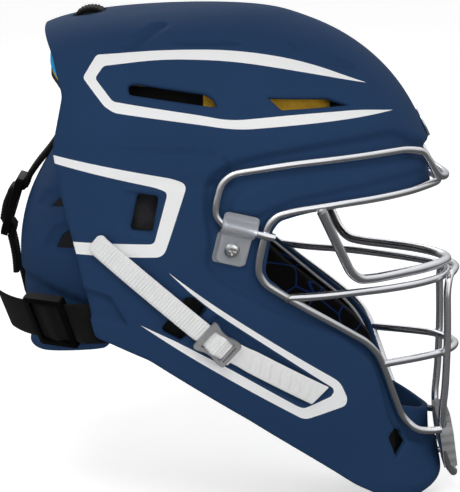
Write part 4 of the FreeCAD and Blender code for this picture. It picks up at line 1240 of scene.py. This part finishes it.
def inflated(name, node_name, voxel, shrink, cap):
    """A padded form grown from a pad's solid by cloth pressure, held to a cap."""
    mesh = nodes[node_name].data.copy()
    mesh.materials.clear()
    thing = bpy.data.objects.new(name, mesh)
    bpy.context.scene.collection.objects.link(thing)
    bpy.context.view_layer.objects.active = thing
    remesh = thing.modifiers.new("even", "REMESH")
    remesh.mode = "VOXEL"
    remesh.voxel_size = voxel * MM
    bake(thing)
    for vertex, normal in [(v, v.normal.copy()) for v in thing.data.vertices]:
        vertex.co -= normal * shrink * MM
    start = np.array([v.co for v in thing.data.vertices])
    cloth = thing.modifiers.new("cloth", "CLOTH")
    cloth.settings.use_pressure = True
    cloth.settings.uniform_pressure_force = CLOTH_PRESSURE
    cloth.settings.effector_weights.gravity = 0
    cloth.settings.quality = 4
    cloth.point_cache.frame_start, cloth.point_cache.frame_end = 1, CLOTH_FRAMES
    for frame_number in range(1, CLOTH_FRAMES + 1):
        bpy.context.scene.frame_set(frame_number)
    bake(thing)
    bpy.context.scene.frame_set(1)
    moved = np.array([v.co for v in thing.data.vertices]) - start
    far = np.linalg.norm(moved, axis=1, keepdims=True)
    moved *= np.minimum(1, cap * MM / np.maximum(far, 1e-9))
    thing.data.vertices.foreach_set("co", (start + moved).ravel())
    relax = thing.modifiers.new("relax", "SMOOTH")
    relax.iterations = 3
    relax.factor = 0.5
    fine = thing.modifiers.new("fine", "SUBSURF")
    fine.levels = fine.render_levels = 1
    bake(thing)
    thing.data.polygons.foreach_set("use_smooth", [True] * len(thing.data.polygons))
    return thing


def bake(thing):
    """Applies the object's modifiers to its mesh."""
    bpy.context.view_layer.update()
    graph = bpy.context.evaluated_depsgraph_get()
    made = bpy.data.meshes.new_from_object(thing.evaluated_get(graph))
    thing.modifiers.clear()
    thing.data = made


# Each pad's voxel, how far it shrinks first, its cap, its fill, its body and its cover.
PADS = {
    "crown_comfort_pad": (4.5, 1.6, 2.2, 0.6, "root", liner),
    "brow_pad": (4.0, 1.8, 2.4, 0.7, "root", liner),
    "jaw_pad_right": (4.0, 1.5, 2.0, 0.7, "root", lined_cloth),
    "jaw_pad_left": (4.0, 1.5, 2.0, 0.7, "root", lined_cloth),
    "side_foam_right": (4.0, 1.2, 1.5, 0.5, "root", foam_dark),
    "side_foam_left": (4.0, 1.2, 1.5, 0.5, "root", foam_dark),
    "chin_pad": (3.5, 1.4, 1.8, 0.6, "root", liner),
    "back_plate_pad": (4.5, 1.6, 2.2, 0.6, "back_plate", liner),
}
JAW_PAD_EDGE = [
    (22.5, -43), (26, -49.4), (36.5, -58.4), (68, -80.4), (87.2, -94.3), (95.4, -105), (100.4, -119),
    (105.8, -138),
]
PALE_EDGE_INSET, PALE_EDGE_RADIUS = 6.7 + RECESS_DEPTH, 0.9
COMFORT_PAD_REAR, TUCK_SHARE = -111, 0.25


def build_pads():
    for node_name, (voxel, shrink, cap, fill, body, cover) in PADS.items():
        pad = inflated(node_name + "_cover", node_name, voxel, shrink, cap)
        if node_name == "crown_comfort_pad":
            tuck(pad, COMFORT_PAD_REAR, TUCK_SHARE)
        finish(pad, cover, body, [node_name])
    # A pale round line along each jaw pad's edge at the face opening.
    for name, side in SIDES.items():
        edge = smooth_path([(x, 0, z) for x, z in JAW_PAD_EDGE], 1.5)
        centres, _ = shell_form.on_side(edge[:, 0], edge[:, 2], side, -PALE_EDGE_INSET)
        edge_line = tube("jaw_pad_pale_edge_" + name, centres, PALE_EDGE_RADIUS)
        finish(edge_line, pale_edge, "root", ())


def tuck(thing, edge, share):
    """Draws what lies behind an edge in towards it."""
    for vertex in thing.data.vertices:
        vertex.co.x = max(vertex.co.x, edge * MM) + share * min(vertex.co.x - edge * MM, 0)
    thing.data.update()


def tube(name, centres, radius, segments=10):
    """A round tube along a line, closed at both ends."""
    run = unit(np.gradient(centres, axis=0))
    side = unit(np.cross(run, [0.1, 0.2, 1.0]))
    up = np.cross(side, run)
    turns = np.arange(segments) * 2 * math.pi / segments
    rows = [centre + radius * (s * math.cos(turn) + u * math.sin(turn))
            for centre, s, u in zip(centres, side, up) for turn in turns]
    return lofted(name, rows, segments)


build_pads()


# ---------------------------------------------------------------- small hard pieces
def turned(name, profile, local, shape=None, segments=64):
    """A turned piece from (radius, height) points in a local frame, its heights reshaped if asked."""
    rows = []
    for radius, height in profile:
        for turn in 2 * math.pi * np.arange(segments) / segments:
            a, b = radius * math.cos(turn), radius * math.sin(turn)
            rows.append((a, b, height - (shape(a, b) if shape else 0)))
    return lofted(name, local.world(np.array(rows)), segments)


def cross_recess(a, b):
    """Depth of a cross-shaped driver recess."""
    reach = smooth((3.0 - math.hypot(a, b)) / 1.2)
    arm = smooth((1.0 - min(abs(a), abs(b))) / 0.5)
    return float(1.5 * reach * arm)


SCREW_RADIUS, SCREW_DOME = 4.8, 1.9
CHIN_SEAT, CHIN_SCREW_Z = 143.2, -178.0


def pan_screw(name, local, level):
    profile = [(4.3, level), (4.6, level + 0.2), (4.75, level + 0.8)]
    for r in np.linspace(4.7, 0.15, 26):
        profile.append((r, level + 0.9 + SCREW_DOME * math.sqrt(1 - (r / SCREW_RADIUS) ** 2)))
    finish(turned(name, profile, local, cross_recess), zinc, "root", ())


def build_screw_heads():
    for name, side in SIDES.items():
        point, out = shell_form.on_side(CLIP_X, CLIP_Z, side, -RECESS_DEPTH)
        pan_screw("side_clip_screw_head_" + name, Local(point, (1, 0.2, 0.4), out), 2.2)
    chin = Local((CHIN_SEAT, 0, CHIN_SCREW_Z), (0, 1, 0.3), (1, 0, 0))
    pan_screw("chin_clip_screw_head", chin, 0.0)


BADGE_HEIGHT, BADGE_RADIUS = 38.5, 9.5
WELDS = [(56, -4, 0.7), (35.5, -57.4, 0.3), (97.2, -107.5, 0), (22.5, -17.2, 1.2)]
FRONT_WELDS = [(135.4, 26.5, -157), (139.4, 25.4, -57), (136.4, 28.4, -105.7)]
BEAD_RADIUS, BEAD_HEIGHT = 2.7, 1.5


def build_welds():
    """Flattened weld beads where the wires cross."""
    profile = [(BEAD_RADIUS * math.cos(t), BEAD_HEIGHT * math.sin(t)) for t in np.linspace(-1.45, 1.45, 12)]
    for name, side in SIDES.items():
        places = [shell_form.on_side(x, z, side, -1.6 + lift) for x, z, lift in WELDS]
        places += [(np.array((x, side * y, z)), np.array((1, 0.3 * side, 0))) for x, y, z in FRONT_WELDS]
        for k, (point, out) in enumerate(places):
            local = Local(point, (0.3, 0.1, 1), out)
            bead = turned("weld_%s_%d" % (name, k), profile, local, segments=20)
            finish(bead, weld_metal, "root", ())


def build_badge():
    """Round badge: a silver ring round a plain navy dome."""
    depth = shell_form.depth_of(BADGE_HEIGHT)
    points, normals = shell_form.surface(np.array([0.0]), np.array([float(depth)]))
    local = Local(points[0] + normals[0] * 0.3, (0, 1, 0), normals[0])
    r = BADGE_RADIUS
    ring = [(r - 1.5, -0.6), (r, -0.6), (r, 0.5), (r - 0.3, 1.0), (r - 1.1, 1.05), (r - 1.5, 0.5)]
    ring_piece = turned("brow_badge_ring", ring + [(r - 1.5, -0.6)], local)
    finish(ring_piece, silver, "root", ["brow_badge"])
    dome = [(0.1, -0.6), (r - 1.45, -0.6)]
    dome += [(x, 0.75 - 0.5 * (x / r) ** 2) for x in np.linspace(r - 1.45, 0.1, 12)]
    finish(turned("brow_badge_dome", dome, local), navy, "root", ())


CHIN_BOTTOM, CHIN_FLOOR_REAR = -206, 108.2


def build_chin_floor():
    """The flat underside of the chin."""
    turns = np.linspace(-1.6, 1.6, 61)
    depth = shell_form.depth_of(CHIN_BOTTOM + 0.1)
    points, normals = shell_form.surface(turns, np.full(len(turns), float(depth)))
    rim = (points - normals)[points[:, 0] > CHIN_FLOOR_REAR]
    local = Local((0, 0, CHIN_BOTTOM), (1, 0, 0), (0, 0, 1))
    floor = plate_of("chin_floor", [(x, y) for x, y, _ in rim], [], 0.2, 3.6, local, 0.4)
    finish(floor, navy, "root", ())


build_screw_heads()
build_welds()
build_badge()
build_chin_floor()


# ---------------------------------------------------------------- carried-over pieces
CARRIED = {"cage_": silver, "side_clip_": zinc, "chin_clip_": zinc, "chin_clip": smoke_plastic}


def dress_carried_nodes():
    for name, thing in nodes.items():
        material = next((made for start, made in CARRIED.items() if name.startswith(start)), navy)
        thing.data.materials.clear()
        thing.data.materials.append(material)


dress_carried_nodes()


# ---------------------------------------------------------------- stage, light and camera
def area_light(name, place, aim, size, power):
    light = bpy.data.lights.new(name, "AREA")
    light.shape = "RECTANGLE"
    light.size, light.size_y = size
    light.energy = power
    lamp = bpy.data.objects.new(name, light)
    lamp.location = place
    lamp.rotation_euler = (Vector(aim) - Vector(place)).to_track_quat("-Z", "Y").to_euler()
    bpy.context.scene.collection.objects.link(lamp)


# The last value below is the floor's colour as glossy surfaces see it: a painted dark reflection.
WORLD_HORIZON, WORLD_ZENITH, FLOOR_SEEN = 0.92, 0.14, 0.56
SKY_LOW, SKY_HIGH, SKY_FULL, FLOOR_PAINTED_REFLECTION = 0.40, 1.2, 0.7, 0.16


def build_stage():
    floor_level = cad_box[0][2] - 0.001
    reach = 9.0
    corners = [(x / MM, y / MM, floor_level / MM) for x, y in rectangle(reach, reach)]
    floor = make_mesh("floor", corners, [(0, 1, 2, 3)])
    pale = new_material("pale_floor", (0.93, 0.93, 0.93), 0.8, spec=0.1)
    tone = tint(pale, noise_of(pale, 3.0), (0.92, 0.92, 0.92), (0.94, 0.94, 0.94))
    # Painted reflection: glossy surfaces see the floor as dark grey, which gives the wires darker
    # reflections. The camera sees the floor glow evenly white.
    seen = node(pale, "ShaderNodeLightPath")
    shade = node(pale, "ShaderNodeMix", data_type="RGBA")
    shade.inputs["B"].default_value = (FLOOR_PAINTED_REFLECTION, FLOOR_PAINTED_REFLECTION, FLOOR_PAINTED_REFLECTION, 1)
    wire_up(pale, seen.outputs["Is Glossy Ray"], shade.inputs["Factor"])
    wire_up(pale, tone, shade.inputs["A"])
    wire_up(pale, shade.outputs["Result"], shader_of(pale).inputs["Base Color"])
    glow = node(pale, "ShaderNodeMath", operation="MULTIPLY")
    glow.inputs[1].default_value = FLOOR_SEEN
    wire_up(pale, seen.outputs["Is Camera Ray"], glow.inputs[0])
    shader_of(pale).inputs["Emission Color"].default_value = (1, 1, 1, 1)
    wire_up(pale, glow.outputs["Value"], shader_of(pale).inputs["Emission Strength"])
    floor.data.materials.append(pale)
    area_light("key_light", (-0.3, -1.6, 1.8), (0, 0, 0), (1.1, 0.8), 17)
    area_light("fill_light", (1.3, -1.8, 0.4), (0, 0, -0.05), (1.4, 1.2), 4)
    area_light("rim_light", (-0.9, 1.8, 1.2), (0, 0, 0), (1.6, 0.8), 5)
    build_world()


def build_world():
    """Soft studio light, brighter towards the horizon, with its own sky for reflections."""
    world = bpy.data.worlds.new("studio")
    world.use_nodes = True
    background = world.node_tree.nodes["Background"]
    background.inputs["Color"].default_value = (1, 1, 1, 1)
    split = node(world, "ShaderNodeSeparateXYZ")
    wire_up(world, node(world, "ShaderNodeTexCoord").outputs["Generated"], split.inputs["Vector"])
    height = split.outputs["Z"]
    seen = node(world, "ShaderNodeLightPath").outputs
    both = node(world, "ShaderNodeMix")
    wire_up(world, seen["Is Glossy Ray"], both.inputs["Factor"])
    wire_up(world, ranged(world, height, WORLD_HORIZON, WORLD_ZENITH), both.inputs["A"])
    wire_up(world, ranged(world, height, SKY_LOW, SKY_HIGH, SKY_FULL), both.inputs["B"])
    lit = node(world, "ShaderNodeMath", operation="MAXIMUM")
    wire_up(world, both.outputs["Result"], lit.inputs[0])
    wire_up(world, seen["Is Camera Ray"], lit.inputs[1])
    wire_up(world, lit.outputs["Value"], background.inputs["Strength"])
    bpy.context.scene.world = world


LENS, SENSOR = 170.1, 36
CAMERA_DISTANCE, CAMERA_ELEVATION, CAMERA_AIM = 1.5, math.radians(11), Vector((0, 0, -0.042))


def build_camera():
    """Long lens, level with the chest of the helmet's right side and a little above it."""
    data = bpy.data.cameras.new("camera")
    data.sensor_width = SENSOR
    data.lens = LENS
    camera = bpy.data.objects.new("camera", data)
    back = Vector((0, -math.cos(CAMERA_ELEVATION), math.sin(CAMERA_ELEVATION))) * CAMERA_DISTANCE
    camera.location = CAMERA_AIM + back
    camera.rotation_euler = (CAMERA_AIM - camera.location).to_track_quat("-Z", "Y").to_euler()
    bpy.context.scene.collection.objects.link(camera)
    bpy.context.scene.camera = camera


build_stage()
build_camera()
bpy.context.scene.view_settings.view_transform = "Standard"
